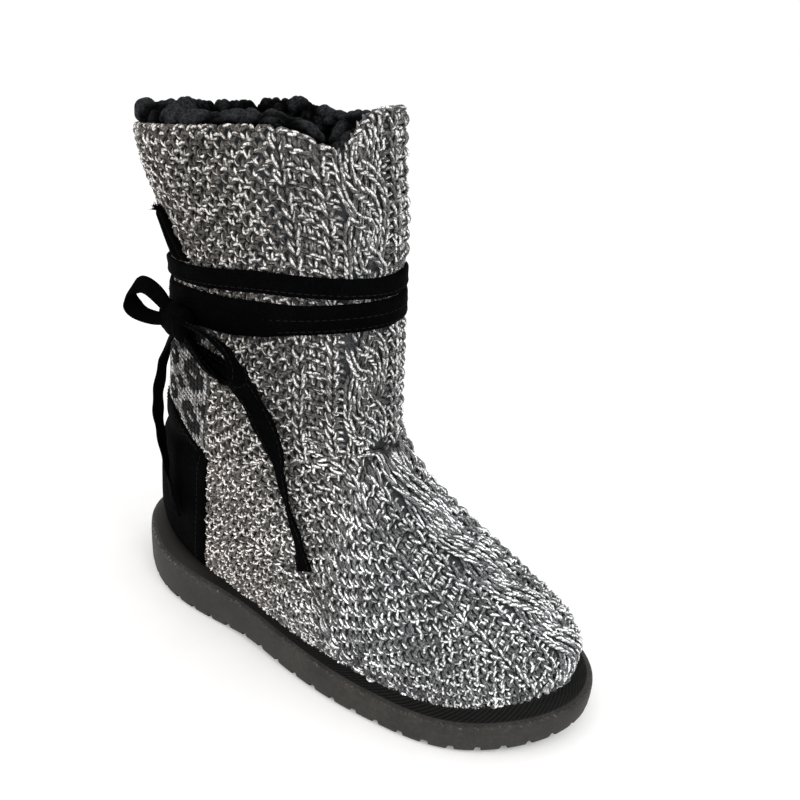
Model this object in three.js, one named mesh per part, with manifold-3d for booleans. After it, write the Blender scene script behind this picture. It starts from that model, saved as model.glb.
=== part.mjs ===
import * as THREE from 'three';
import Module from 'manifold-3d';
import { mergeVertices } from 'three/addons/utils/BufferGeometryUtils.js';

// A knit slipper boot for the right foot, with a fleece collar and a suede ribbon tied round the shaft.
// Millimetres. X runs from the back of the heel to the toe, Y to the inner side of the foot, Z up.

const wasm = await Module();
wasm.setup();

// Driving dimensions of the boot.
const LENGTH = 268;
const COLLAR_HEIGHT = 248.5;
const COLLAR_RISE = 15;
const COLLAR_PIVOT = 0.4;
const TOP_LEVEL = 245;
const TOE_SWING = 14;
const SWING_START = 0.45;
const SHAFT_LEAN = -9;

// Thicknesses and clearances.
const WALL = 3;
const GAP = 0.3;
const OVERLAY_GAP = 0.9;
const SUEDE = 1.6;
const RIBBON_THICK = 1.4;
const INSOLE_THICK = 4;
const INSOLE_MARGIN = 1.4;

// Facets round the boot.
const FACETS = 56;
const SOLE_FACETS = 80;

// Where along a section, from its back to its front, the half widths are given.
const STATIONS = { start: 0, heel: 0.12, waist: 0.4, ball: 0.68, toe: 0.9, end: 1 };

// Sections of the upper from the feather line (level 0) to the collar: the back and front of each
// section, its half widths on the outer side, and how much the arch takes off the inner side.
const LAST = [
  { level: 0, back: 11, front: 257, heel: 45, waist: 42, ball: 49, toe: 59, arch: 5 },
  { level: 14, back: 9.5, front: 257.5, heel: 46.5, waist: 44.5, ball: 51, toe: 59.5, arch: 3.5 },
  { level: 34, back: 11, front: 238.5, heel: 45, waist: 43.5, ball: 47, toe: 53, arch: 2.5 },
  { level: 54, back: 14, front: 206, heel: 41.5, waist: 41, ball: 43.5, toe: 48, arch: 1.5 },
  { level: 74, back: 19.5, front: 176, heel: 40.5, waist: 41, ball: 42.5, toe: 44, arch: 0.5 },
  { level: 94, back: 25.5, front: 159.5, heel: 41.5, waist: 42.5, ball: 42.5, toe: 42.5, arch: 0 },
  { level: 112, back: 30.5, front: 154.5, heel: 43, waist: 43.5, ball: 43.5, toe: 43, arch: 0 },
  { level: 140, back: 34, front: 153.5, heel: 43.5, waist: 43.5, ball: 43.5, toe: 42.5, arch: 0 },
  { level: 175, back: 37, front: 152, heel: 43.5, waist: 43.5, ball: 43.5, toe: 42.5, arch: 0 },
  { level: 205, back: 35, front: 150.5, heel: 46, waist: 46, ball: 46, toe: 44, arch: 0 },
  { level: 230, back: 26.5, front: 147, heel: 49.5, waist: 49.5, ball: 49.5, toe: 47, arch: 0 },
  { level: 245, back: 24.5, front: 145.5, heel: 51, waist: 51, ball: 51, toe: 48.5, arch: 0 },
];

// Half widths of the outsole on its outer and inner side.
const SOLE_OUTER = { heel: 60, waist: 47.5, ball: 56, toe: 66.5 };
const SOLE_INNER = { heel: 60, waist: 42.5, ball: 52, toe: 71.5 };

// Heights along the boot: the tread, the top of the sole's side wall, and the feather line.
const HEIGHTS = [
  { x: 0, tread: 1, side: 24.2, feather: 27 },
  { x: 14, tread: 0, side: 24, feather: 26.8 },
  { x: 82, tread: 0, side: 21.8, feather: 25.2 },
  { x: 112, tread: 1.6, side: 19.8, feather: 23.4 },
  { x: 142, tread: 0, side: 17.4, feather: 21.4 },
  { x: 215, tread: 0, side: 14.8, feather: 20.4 },
  { x: 240, tread: 1.4, side: 16, feather: 22.4 },
  { x: 268, tread: 5, side: 19, feather: 25 },
];

// Steps up the side of the sole: how far in from the outline, which share of the side wall's height,
// and how much above that.
const SOLE_STEPS = [
  { inset: 2.2, share: 0, up: 0 },
  { inset: 0.4, share: 0, up: 2.2 },
  { inset: 0, share: 0.5, up: 0 },
  { inset: 0.4, share: 1, up: -1.2 },
  { inset: 1.6, share: 1, up: 0 },
  { inset: 3.2, share: 1, up: 0 },
  { inset: 3.6, share: 1, up: -1 },
  { inset: 4.2, share: 1, up: 0.6 },
];
const RIM_MARGIN = 0.8;

// Slots in the edge of the tread.
const SLOT = { pitch: 12.5, width: 3.2, depth: 8, height: 3.2, below: 3 };

// The ankle seam, where the foot meets the shaft, by the angle from the back of the heel.
const ANKLE_SEAM = [
  { angle: 0, level: 76 },
  { angle: 60, level: 77 },
  { angle: 80, level: 79 },
  { angle: 100, level: 87 },
  { angle: 125, level: 95 },
  { angle: 155, level: 99.5 },
  { angle: 180, level: 98 },
];
const SEAM_PINCH = 1.8;
const SEAM_REACH = 6;

// The collar's edge: a dip in front on the outer side.
const COLLAR_DIP = { angle: 203, reach: 13, depth: 6 };

// The suede counter on the heel and the panel of stranded knit above it: half angle from the back,
// and the counter's top edge.
const BACK_EDGE = [
  { level: 0, angle: 60 },
  { level: 18, angle: 62 },
  { level: 49, angle: 68 },
  { level: 77, angle: 77 },
  { level: 116, angle: 84 },
  { level: 160, angle: 87.5 },
];
const COUNTER_TOP = [
  { share: 0, level: 102 },
  { share: 0.62, level: 99 },
  { share: 0.82, level: 92 },
  { share: 1, level: 78 },
];
const PANEL_CLEARANCE = 0.8;

// Middle lines of the two turns of ribbon, and how wide each lies: the lower is doubled by the knot.
const UPPER_WRAP = [
  { angle: 0, level: 177.6, width: 8.8 },
  { angle: 90, level: 178.5, width: 8.8 },
  { angle: 176, level: 178.5, width: 8.8 },
  { angle: 203, level: 179.6, width: 8.2 },
  { angle: 228, level: 181.2, width: 8.6 },
  { angle: 250, level: 182.8, width: 9.2 },
  { angle: 266, level: 182, width: 8.8 },
  { angle: 290, level: 179.9, width: 8.8 },
  { angle: 360, level: 177.6, width: 8.8 },
];
const LOWER_WRAP = [
  { angle: 0, level: 164.6, width: 12 },
  { angle: 90, level: 165.8, width: 12 },
  { angle: 178, level: 166.6, width: 11.6 },
  { angle: 205, level: 166.6, width: 11.6 },
  { angle: 228, level: 166.4, width: 12 },
  { angle: 247, level: 166.1, width: 14.4 },
  { angle: 264, level: 165.1, width: 15.6 },
  { angle: 288, level: 164.4, width: 15.6 },
  { angle: 325, level: 164.4, width: 12 },
  { angle: 360, level: 164.6, width: 12 },
];

// The bow: the knot on the lower turn, and the reach, rise and drop of its two loops.
const KNOT = { level: 157, angle: 289, out: 7.25, along: 9.5, up: 8.5, thick: 5 };
const BACK_LOOP = {
  reach: 25,
  belly: 8,
  along: [-0.88, -0.3, 0.42],
  across: [0.35, 0.1, 0.93],
  start: 0.1,
};
const FRONT_LOOP = {
  reach: 46,
  belly: 8,
  along: [0.95, -0.17, -0.23],
  across: [0.25, -0.1, 0.96],
  start: 0.065,
};
const LOOP_WIDTH = 11;
const END_STEPS = 2;
const LOOP_PINCH = 0.55;
const LOOP_STEPS = 16;
const LOOP_LEAN = { along: 0.25, across: 0.75 };

// The free ends of the ribbon, point by point from the knot down: place on the upper, distance out from
// it, width, and turn about the ribbon's own length.
const FRONT_END = [
  { level: 143.6, angle: 286, out: 3.8, width: 9.5, turn: 0 },
  { level: 139.6, angle: 272, out: 3.5, width: 9.5, turn: 0 },
  { level: 133.5, angle: 258, out: 2.6, width: 9.5, turn: 0 },
  { level: 123, angle: 250.5, out: 2.4, width: 9, turn: 0 },
  { level: 111, angle: 245, out: 2.6, width: 9.2, turn: 0 },
  { level: 99, angle: 242.2, out: 3.4, width: 8.5, turn: 20 },
  { level: 86, angle: 242.4, out: 3.9, width: 7, turn: 38 },
  { level: 72, angle: 245, out: 3.7, width: 6.5, turn: 44 },
  { level: 57, angle: 250.2, out: 2.8, width: 6.2, turn: 25 },
  { level: 44, angle: 255.2, out: 2.2, width: 6.2, turn: 5 },
];
const BACK_END = [
  { level: 149.3, angle: 293.5, out: 6.4, width: 11, turn: 20 },
  { level: 138, angle: 300, out: 7.5, width: 10, turn: 40 },
  { level: 122, angle: 303, out: 9.5, width: 8, turn: 55 },
  { level: 104, angle: 305, out: 10.5, width: 7, turn: 60 },
  { level: 86, angle: 306, out: 10, width: 7, turn: 50 },
  { level: 66, angle: 307, out: 8.5, width: 9, turn: 35 },
  { level: 46, angle: 309, out: 6.6, width: 11, turn: 15 },
  { level: 28, angle: 310, out: 5, width: 12, turn: 0 },
];

// The folded tab above the ribbon.
const BACK_TAB = { bottom: 186.5, top: 209, bottomAngle: 291, topAngle: 306, halfAngle: 6, thick: 3 };

// The fleece round the collar: places across its roll, out from the collar's edge and up from it, and
// how far each swells with the curls.
const FLEECE_ROLL = [
  { out: -4, up: -9, swell: 0 },
  { out: -3.6, up: 0.8, swell: 0 },
  { out: -1, up: 2.2, swell: 0.25 },
  { out: 0, up: 5, swell: 0.7 },
  { out: -3, up: 8.6, swell: 1 },
  { out: -8.5, up: 9, swell: 1 },
  { out: -12.5, up: 5.5, swell: 0.8 },
  { out: -12, up: -2, swell: 0.6 },
  { out: -8, up: -9, swell: 0 },
];
const FLEECE_FACETS = 66;
const FLEECE_CURLS = { round: 31, drift: 19, across: 2.1, swell: 2.2, sink: 0.4, rise: 0.8 };

// Small steps for measuring slopes.
const LEVEL_STEP = 0.5;
const ANGLE_STEP = 0.01;

const radians = THREE.MathUtils.degToRad;
const clamp = THREE.MathUtils.clamp;

// A smooth curve through (x, y) pairs that never swings past them.
function smooth(xs, ys) {
  const steps = xs.slice(1).map((x, i) => x - xs[i]);
  const slopes = steps.map((step, i) => (ys[i + 1] - ys[i]) / step);
  const tangents = ys.map((_, i) => {
    if (i === 0) return slopes[0];
    if (i === ys.length - 1) return slopes[i - 1];
    if (slopes[i - 1] * slopes[i] <= 0) return 0;
    const before = 2 * steps[i] + steps[i - 1];
    const after = steps[i] + 2 * steps[i - 1];
    return (before + after) / (before / slopes[i - 1] + after / slopes[i]);
  });
  return (value) => {
    const x = clamp(value, xs[0], xs.at(-1));
    let i = 0;
    while (i < steps.length - 1 && x > xs[i + 1]) i += 1;
    const t = (x - xs[i]) / steps[i];
    const rest = 1 - t;
    return (
      ys[i] * (1 + 2 * t) * rest * rest +
      ys[i + 1] * t * t * (3 - 2 * t) +
      steps[i] * t * rest * (tangents[i] * rest - tangents[i + 1] * t)
    );
  };
}

const column = (table, key, name) => smooth(table.map((row) => row[key]), table.map((row) => row[name]));

const tread = column(HEIGHTS, 'x', 'tread');
const sideTop = column(HEIGHTS, 'x', 'side');
const feather = column(HEIGHTS, 'x', 'feather');
const last = Object.fromEntries(Object.keys(LAST[0]).map((name) => [name, column(LAST, 'level', name)]));

// Half width of a section at a share of its length, through its four stations.
function halfWidth(share, widths) {
  const { heel, waist, ball, toe } = widths;
  return smooth(Object.values(STATIONS), [heel, heel, waist, ball, toe, toe])(share);
}

const swing = (x) => TOE_SWING * clamp((x / LENGTH - SWING_START) / (1 - SWING_START), 0, 1) ** 2;

// A point of the upper's smooth surface. The angle runs from the back of the heel over the inner side.
function lastPoint(level, angle) {
  const share = (1 - Math.cos(angle)) / 2;
  const side = Math.sin(angle);
  const back = last.back(level);
  const x = back + (last.front(level) - back) * share;
  const arch = side > 0 ? last.arch(level) : 0;
  const widths = {
    heel: last.heel(level),
    waist: last.waist(level) - arch,
    ball: last.ball(level) - arch,
    toe: last.toe(level),
  };
  const height = level / TOP_LEVEL;
  const y = side * halfWidth(share, widths) + swing(x) + SHAFT_LEAN * height;
  const collar = COLLAR_HEIGHT + COLLAR_RISE * (share - COLLAR_PIVOT);
  return new THREE.Vector3(x, y, feather(x) * (1 - height) + collar * height);
}

const seamTable = column(ANKLE_SEAM, 'angle', 'level');

function seamLevel(angle) {
  const degrees = THREE.MathUtils.euclideanModulo(THREE.MathUtils.radToDeg(angle), 360);
  return seamTable(degrees > 180 ? 360 - degrees : degrees);
}

// The outward normal of the upper's surface.
function lastNormal(level, angle) {
  const rise = lastPoint(level + LEVEL_STEP, angle).sub(lastPoint(level - LEVEL_STEP, angle));
  const turn = lastPoint(level, angle + ANGLE_STEP).sub(lastPoint(level, angle - ANGLE_STEP));
  return rise.cross(turn).normalize();
}

// A point a distance out from the upper, with the ankle seam drawn in.
function skin(level, angle, out) {
  const pinch = SEAM_PINCH * Math.exp(-(((level - seamLevel(angle)) / SEAM_REACH) ** 2));
  return lastPoint(level, angle).addScaledVector(lastNormal(level, angle), out - pinch);
}

const ringAngles = (count) => Array.from({ length: count }, (_, i) => (2 * Math.PI * i) / count);

// A closed mesh from points and triangles, with its faces turned outward.
function solidGeometry(points, triangles) {
  const volume = triangles.reduce((sum, [a, b, c]) => {
    return sum + points[a].dot(points[b].clone().cross(points[c]));
  }, 0);
  const faces = volume < 0 ? triangles.map(([a, b, c]) => [a, c, b]) : triangles;
  const geometry = new THREE.BufferGeometry().setFromPoints(points);
  geometry.setIndex(faces.flat());
  return geometry;
}

// Triangles between neighbouring rings of points; a loop also joins the last ring to the first.
function ringTriangles(rings, loop) {
  const count = rings[0].length;
  const triangles = [];
  const bands = loop ? rings.length : rings.length - 1;
  for (let row = 0; row < bands; row += 1) {
    const low = row * count;
    const high = ((row + 1) % rings.length) * count;
    for (let i = 0; i < count; i += 1) {
      const next = (i + 1) % count;
      triangles.push([low + i, high + i, high + next], [low + i, high + next, low + next]);
    }
  }
  return triangles;
}

// A hollow wall or a band: rings that close on themselves across the section.
const ringSolid = (rings) => solidGeometry(rings.flat(), ringTriangles(rings, true));

// A solid between a lowest and a highest ring, each closed by strips from side to side.
function platformSolid(rings) {
  const count = rings[0].length;
  const triangles = ringTriangles(rings, false);
  const close = (start, flip) => {
    for (let i = 0; i < count / 2; i += 1) {
      const inner = start + i;
      const outer = start + ((count - i) % count);
      const outerNext = start + count - i - 1;
      const strip = [[inner, inner + 1, outerNext], [inner, outerNext, outer]];
      strip.filter((t) => new Set(t).size === 3).forEach(([a, b, c]) => {
        triangles.push(flip ? [a, c, b] : [a, b, c]);
      });
    }
  };
  close(0, false);
  close((rings.length - 1) * count, true);
  return solidGeometry(rings.flat(), triangles);
}

// A patch of the upper between two distances out from it; place(u, v) gives its level and angle.
function patchSolid(across, up, place, inside, outside) {
  const points = [];
  [inside, outside].forEach((out) => {
    for (let v = 0; v <= up; v += 1) {
      for (let u = 0; u <= across; u += 1) {
        const { level, angle } = place(u / across, v / up);
        points.push(skin(level, angle, out));
      }
    }
  });
  const sheet = (across + 1) * (up + 1);
  const at = (u, v) => v * (across + 1) + u;
  const triangles = [];
  const quad = (a, b, c, d) => triangles.push([a, b, c], [a, c, d]);
  for (let v = 0; v < up; v += 1) {
    for (let u = 0; u < across; u += 1) {
      quad(at(u, v), at(u, v + 1), at(u + 1, v + 1), at(u + 1, v));
      quad(sheet + at(u, v), sheet + at(u + 1, v), sheet + at(u + 1, v + 1), sheet + at(u, v + 1));
    }
  }
  const wall = (a, b) => quad(a, b, sheet + b, sheet + a);
  for (let u = 0; u < across; u += 1) {
    wall(at(u, 0), at(u + 1, 0));
    wall(at(u + 1, up), at(u, up));
  }
  for (let v = 0; v < up; v += 1) {
    wall(at(0, v + 1), at(0, v));
    wall(at(across, v), at(across, v + 1));
  }
  return solidGeometry(points, triangles);
}

// A flat ribbon along points, each with its own direction across and width.
function ribbonSolid(stations) {
  const rings = stations.map((station, i) => {
    const ahead = stations[Math.min(i + 1, stations.length - 1)].point;
    const behind = stations[Math.max(i - 1, 0)].point;
    const along = ahead.clone().sub(behind).normalize();
    const across = station.across.clone().addScaledVector(along, -station.across.dot(along)).normalize();
    const face = along.clone().cross(across).normalize();
    const corners = [[-1, -1], [1, -1], [1, 1], [-1, 1]];
    return corners.map(([side, lift]) => {
      return station.point
        .clone()
        .addScaledVector(across, (side * station.width) / 2)
        .addScaledVector(face, (lift * RIBBON_THICK) / 2);
    });
  });
  const triangles = ringTriangles(rings, false);
  const end = (rings.length - 1) * 4;
  triangles.push([0, 1, 2], [0, 2, 3], [end, end + 2, end + 1], [end, end + 3, end + 2]);
  return solidGeometry(rings.flat(), triangles);
}

function toManifold(geometry) {
  const merged = geometry.clone();
  merged.deleteAttribute('normal');
  merged.deleteAttribute('uv');
  const welded = mergeVertices(merged, 1e-5);
  return new wasm.Manifold(
    new wasm.Mesh({
      numProp: 3,
      vertProperties: new Float32Array(welded.attributes.position.array),
      triVerts: new Uint32Array(welded.index.array),
    }),
  );
}

function fromManifold(manifold) {
  const mesh = manifold.getMesh();
  const geometry = new THREE.BufferGeometry();
  geometry.setAttribute('position', new THREE.BufferAttribute(new Float32Array(mesh.vertProperties), 3));
  geometry.setIndex(Array.from(mesh.triVerts));
  return geometry;
}

// The outsole's outline, moved in from its edge.
function soleOutline(angle) {
  const share = (1 - Math.cos(angle)) / 2;
  const side = Math.sin(angle);
  const x = LENGTH * share;
  return new THREE.Vector2(x, side * halfWidth(share, side < 0 ? SOLE_OUTER : SOLE_INNER) + swing(x));
}

function soleEdge(angle, inset) {
  const along = soleOutline(angle + ANGLE_STEP).sub(soleOutline(angle - ANGLE_STEP)).normalize();
  const inward = new THREE.Vector2(along.y, -along.x);
  return { place: soleOutline(angle).addScaledVector(inward, inset), inward };
}

function soleRing(step) {
  return ringAngles(SOLE_FACETS).map((angle) => {
    const { place } = soleEdge(angle, step.inset);
    const base = tread(place.x);
    return new THREE.Vector3(place.x, place.y, base + step.share * (sideTop(place.x) - base) + step.up);
  });
}

function rimRing() {
  return ringAngles(SOLE_FACETS).map((angle) => {
    const edge = skin(0, angle, RIM_MARGIN);
    return new THREE.Vector3(edge.x, edge.y, feather(edge.x) - GAP);
  });
}

// Angles evenly spaced along the outline's length.
function slotAngles() {
  const samples = ringAngles(720);
  const lengths = samples.map((angle, i) => {
    return soleOutline(angle).distanceTo(soleOutline(samples[(i + 1) % samples.length]));
  });
  const total = lengths.reduce((sum, length) => sum + length, 0);
  const count = Math.round(total / SLOT.pitch);
  const angles = [];
  let run = 0;
  lengths.forEach((length, i) => {
    run += length;
    if (run > ((angles.length + 0.5) * total) / count) angles.push(samples[i]);
  });
  return angles;
}

function outsole() {
  const body = toManifold(platformSolid([...SOLE_STEPS.map(soleRing), rimRing()]));
  const cut = slotAngles().reduce((solid, angle) => {
    const { place, inward } = soleEdge(angle, SLOT.depth / 2 - SLOT.below);
    const height = SLOT.height + SLOT.below;
    const slot = new THREE.BoxGeometry(SLOT.depth + SLOT.below, SLOT.width, height);
    slot.rotateZ(Math.atan2(inward.y, inward.x));
    slot.translate(place.x, place.y, tread(place.x) - SLOT.below + height / 2);
    return solid.subtract(toManifold(slot));
  }, body);
  return fromManifold(cut);
}

function insole() {
  const ring = (up) => ringAngles(FACETS).map((angle) => {
    const edge = skin(3, angle, -(WALL + INSOLE_MARGIN));
    return new THREE.Vector3(edge.x, edge.y, feather(edge.x) + up);
  });
  return platformSolid([ring(0), ring(INSOLE_THICK)]);
}

// A knit wall between two levels that may change with the angle.
function knitWall(lowest, highest, shares) {
  const ring = (share, out) => ringAngles(FACETS).map((angle) => {
    const low = lowest(angle);
    return skin(low + share * (highest(angle) - low), angle, out);
  });
  const outer = shares.map((share) => ring(share, 0));
  const inner = shares.map((share) => ring(share, -WALL)).reverse();
  return ringSolid([...outer, ...inner]);
}

const FOOT_SHARES = [0, 0.1, 0.22, 0.34, 0.46, 0.58, 0.7, 0.82, 0.93, 1];
const SHAFT_SHARES = [0, 0.035, 0.08, 0.2, 0.35, 0.5, 0.64, 0.77, 0.89, 1];

function collarLevel(angle) {
  const degrees = THREE.MathUtils.euclideanModulo(THREE.MathUtils.radToDeg(angle), 360);
  const dip = COLLAR_DIP.depth * Math.exp(-(((degrees - COLLAR_DIP.angle) / COLLAR_DIP.reach) ** 2));
  return TOP_LEVEL - dip;
}

const upper = () => knitWall(() => 0, (angle) => seamLevel(angle) - GAP / 2, FOOT_SHARES);
const shaft = () => knitWall((angle) => seamLevel(angle) + GAP, collarLevel, SHAFT_SHARES);

const backEdge = column(BACK_EDGE, 'level', 'angle');
const counterTop = column(COUNTER_TOP, 'share', 'level');

// Across the back the share runs from -1 at the outer edge to 1 at the inner edge.
function heelCounter() {
  const place = (u, v) => {
    const share = 2 * u - 1;
    const level = 1 + v * (counterTop(Math.abs(share)) - 1);
    return { level, angle: radians(share * backEdge(level)) };
  };
  return patchSolid(20, 9, place, OVERLAY_GAP, OVERLAY_GAP + SUEDE);
}

const LEVEL_HEIGHT = (COLLAR_HEIGHT - feather(0)) / TOP_LEVEL;

// The level of a turn of ribbon, from -1 at its lower edge to 1 at its upper edge.
function wrapLevel(table) {
  const middle = column(table, 'angle', 'level');
  const width = column(table, 'angle', 'width');
  return (degrees, up) => middle(degrees) + (up * width(degrees)) / 2 / LEVEL_HEIGHT;
}

const lowerWrap = wrapLevel(LOWER_WRAP);
const upperWrap = wrapLevel(UPPER_WRAP);

function backPanel() {
  const place = (u, v) => {
    const share = 2 * u - 1;
    const low = counterTop(Math.abs(share)) + PANEL_CLEARANCE;
    const angleHigh = share * backEdge(TOP_LEVEL);
    const high = lowerWrap((angleHigh + 360) % 360, -1) - PANEL_CLEARANCE;
    const level = low + v * (high - low);
    return { level, angle: radians(share * backEdge(level)) };
  };
  return patchSolid(20, 6, place, OVERLAY_GAP, OVERLAY_GAP + SUEDE);
}

function ribbonWrap(levelAt) {
  const section = [
    { up: -1, out: OVERLAY_GAP },
    { up: -1, out: OVERLAY_GAP + RIBBON_THICK * 0.7 },
    { up: 0, out: OVERLAY_GAP + RIBBON_THICK },
    { up: 1, out: OVERLAY_GAP + RIBBON_THICK * 0.7 },
    { up: 1, out: OVERLAY_GAP },
  ];
  const rings = section.map(({ up, out }) => ringAngles(FACETS).map((angle) => {
    return skin(levelAt(THREE.MathUtils.radToDeg(angle), up), angle, out);
  }));
  return ringSolid(rings);
}

// The bow's own axes at the knot: out of the boot, up the shaft, and along the ribbon to the front.
const knotOut = lastNormal(KNOT.level, radians(KNOT.angle));
const knotUp = new THREE.Vector3(0, 0, 1).addScaledVector(knotOut, -knotOut.z).normalize();
const knotAlong = knotUp.clone().cross(knotOut).negate();
const knotCentre = skin(KNOT.level, radians(KNOT.angle), KNOT.out);

function bowKnot() {
  const pillow = new THREE.SphereGeometry(1, 14, 8);
  pillow.deleteAttribute('normal');
  pillow.deleteAttribute('uv');
  const knot = mergeVertices(pillow, 1e-4);
  knot.scale(KNOT.along, KNOT.up, KNOT.thick);
  knot.applyMatrix4(new THREE.Matrix4().makeBasis(knotAlong, knotUp, knotAlong.clone().cross(knotUp)));
  knot.translate(knotCentre.x, knotCentre.y, knotCentre.z);
  return knot;
}

// A teardrop loop that leaves the knot and comes back to it.
function loopStations(loop) {
  const along = new THREE.Vector3(...loop.along).normalize();
  const rise = new THREE.Vector3(...loop.across);
  rise.addScaledVector(along, -rise.dot(along)).normalize();
  const face = along.clone().cross(rise);
  const across = face
    .addScaledVector(along, LOOP_LEAN.along)
    .addScaledVector(rise, LOOP_LEAN.across)
    .normalize();
  return Array.from({ length: LOOP_STEPS + 1 }, (_, i) => {
    const turn = loop.start + (1 - 2 * loop.start) * (i / LOOP_STEPS);
    const point = knotCentre
      .clone()
      .addScaledVector(along, loop.reach * Math.sin(Math.PI * turn))
      .addScaledVector(rise, loop.belly * Math.sin(2 * Math.PI * turn));
    const spread = LOOP_PINCH + (1 - LOOP_PINCH) * Math.sin((Math.PI * i) / LOOP_STEPS);
    return { point, across, width: LOOP_WIDTH * spread };
  });
}

// The ribbon's end, smoothed through its points.
function endStations(rows) {
  const count = END_STEPS * rows.length;
  const places = rows.map(({ level, angle, out }) => skin(level, radians(angle), out));
  const path = new THREE.CatmullRomCurve3(places);
  const steps = rows.map((_, i) => i / (rows.length - 1));
  const width = smooth(steps, rows.map((row) => row.width));
  const turn = smooth(steps, rows.map((row) => row.turn));
  const level = smooth(steps, rows.map((row) => row.level));
  const angle = smooth(steps, rows.map((row) => row.angle));
  return Array.from({ length: count + 1 }, (_, i) => {
    const t = i / count;
    const along = path.getTangent(t);
    const normal = lastNormal(level(t), radians(angle(t)));
    const across = along.clone().cross(normal).normalize().applyAxisAngle(along, radians(turn(t)));
    return { point: path.getPoint(t), across, width: width(t) };
  });
}

function backTab() {
  const { bottom, top, bottomAngle, topAngle, halfAngle } = BACK_TAB;
  const place = (u, v) => ({
    level: bottom + v * (top - bottom),
    angle: radians(bottomAngle + v * (topAngle - bottomAngle) + (2 * u - 1) * halfAngle),
  });
  return patchSolid(3, 6, place, OVERLAY_GAP, OVERLAY_GAP + BACK_TAB.thick);
}

// The curls swell the roll in a woven pattern of lumps.
function fleeceCollar() {
  const ring = ({ out, up, swell }, row) => ringAngles(FLEECE_FACETS).map((angle) => {
    const level = collarLevel(angle) + Math.min(up, 0) / LEVEL_HEIGHT;
    const edge = lastPoint(level, angle);
    const outward = lastNormal(level, angle).setZ(0).normalize();
    const above = Math.max(up, 0);
    const phase = FLEECE_CURLS.across * row;
    const curl = Math.sin(FLEECE_CURLS.round * angle + phase) * Math.cos(FLEECE_CURLS.drift * angle - phase);
    const lump = swell * FLEECE_CURLS.swell * curl;
    edge.addScaledVector(outward, out - FLEECE_CURLS.sink * lump);
    return edge.setZ(edge.z + above + FLEECE_CURLS.rise * lump);
  });
  return ringSolid(FLEECE_ROLL.map(ring));
}

const finish = (color, roughness) => new THREE.MeshStandardMaterial({ color, roughness, metalness: 0 });
const rubber = finish('#2b2a29', 0.6);
const knit = finish('#8b8a88', 0.95);
const suede = finish('#15151a', 0.9);
const fleece = finish('#141417', 1);
const strandedKnit = finish('#a9a8a6', 0.95);
const footbed = finish('#1c1c1f', 0.95);

const boot = new THREE.Group();
const fixedPieces = new THREE.Group();
const bow = new THREE.Group();
boot.add(fixedPieces, bow);

function addPiece(group, name, geometry, material) {
  geometry.computeVertexNormals();
  const mesh = new THREE.Mesh(geometry, material);
  mesh.name = name;
  group.add(mesh);
}

addPiece(fixedPieces, 'outsole', outsole(), rubber);
addPiece(fixedPieces, 'insole', insole(), footbed);
addPiece(fixedPieces, 'upper', upper(), knit);
addPiece(fixedPieces, 'shaft', shaft(), knit.clone());
addPiece(fixedPieces, 'heel_counter', heelCounter(), suede);
addPiece(fixedPieces, 'back_panel', backPanel(), strandedKnit);
addPiece(fixedPieces, 'back_tab', backTab(), suede.clone());
addPiece(fixedPieces, 'ribbon_upper_wrap', ribbonWrap(upperWrap), suede.clone());
addPiece(fixedPieces, 'ribbon_lower_wrap', ribbonWrap(lowerWrap), suede.clone());
addPiece(fixedPieces, 'fleece_collar', fleeceCollar(), fleece);
addPiece(bow, 'bow_knot', bowKnot(), suede.clone());
addPiece(bow, 'bow_loop_back', ribbonSolid(loopStations(BACK_LOOP)), suede.clone());
addPiece(bow, 'bow_loop_front', ribbonSolid(loopStations(FRONT_LOOP)), suede.clone());
addPiece(bow, 'tie_end_back', ribbonSolid(endStations(BACK_END)), suede.clone());
addPiece(bow, 'tie_end_front', ribbonSolid(endStations(FRONT_END)), suede.clone());

// The origin is under the middle of the boot, on the floor.
const extent = new THREE.Box3().setFromObject(fixedPieces);
const middle = extent.getCenter(new THREE.Vector3());
boot.position.set(-middle.x, -middle.y, -extent.min.z);
boot.updateMatrixWorld(true);

export default boot;
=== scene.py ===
# %% [markdown]
# # A knit slipper boot with a ribbon tie
# This is a right boot: a hollow upper of chunky marled yarn on a cupped rubber sole, lined with black
# curly fleece that stands out of the collar. A black suede counter covers the heel, a strip of
# two-colour knit runs up the back, and a black ribbon is wound twice round the shaft and tied in a bow.
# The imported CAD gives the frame. Every soft piece here takes the place of its plain CAD solid.

import math

import bpy
import numpy as np
from mathutils import Matrix, Vector


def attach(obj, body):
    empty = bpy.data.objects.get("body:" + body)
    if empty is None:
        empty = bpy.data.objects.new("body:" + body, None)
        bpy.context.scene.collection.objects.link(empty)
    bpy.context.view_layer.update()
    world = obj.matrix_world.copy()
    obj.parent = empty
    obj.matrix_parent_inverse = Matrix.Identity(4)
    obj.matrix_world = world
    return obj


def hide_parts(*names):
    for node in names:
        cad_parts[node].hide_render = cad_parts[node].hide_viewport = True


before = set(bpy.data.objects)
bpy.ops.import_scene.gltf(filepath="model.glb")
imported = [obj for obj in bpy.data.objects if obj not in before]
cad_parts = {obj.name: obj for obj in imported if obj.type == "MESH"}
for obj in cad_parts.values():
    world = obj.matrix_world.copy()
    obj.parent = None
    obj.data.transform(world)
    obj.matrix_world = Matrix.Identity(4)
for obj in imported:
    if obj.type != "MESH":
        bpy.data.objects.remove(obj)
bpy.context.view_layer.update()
scene = bpy.context.scene
print("CAD nodes", len(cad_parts))

# %% [markdown]
# ## The camera
# The view was found by matching the sole, the collar and the seams with where they fall in the
# photograph. It looks down at the outer side of the boot from in front of the toe, and leans a little.
# A camera could be aimed at a target, but it also leans, so its three directions are worked out from
# named angles and set as one matrix.

# %% Camera
CAMERA_PLACE = Vector((0.19877, -0.2772, 0.29456))
CAMERA_YAW = math.radians(32.03)
CAMERA_PITCH = math.radians(25.33)
CAMERA_ROLL = math.radians(5.34)

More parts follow.
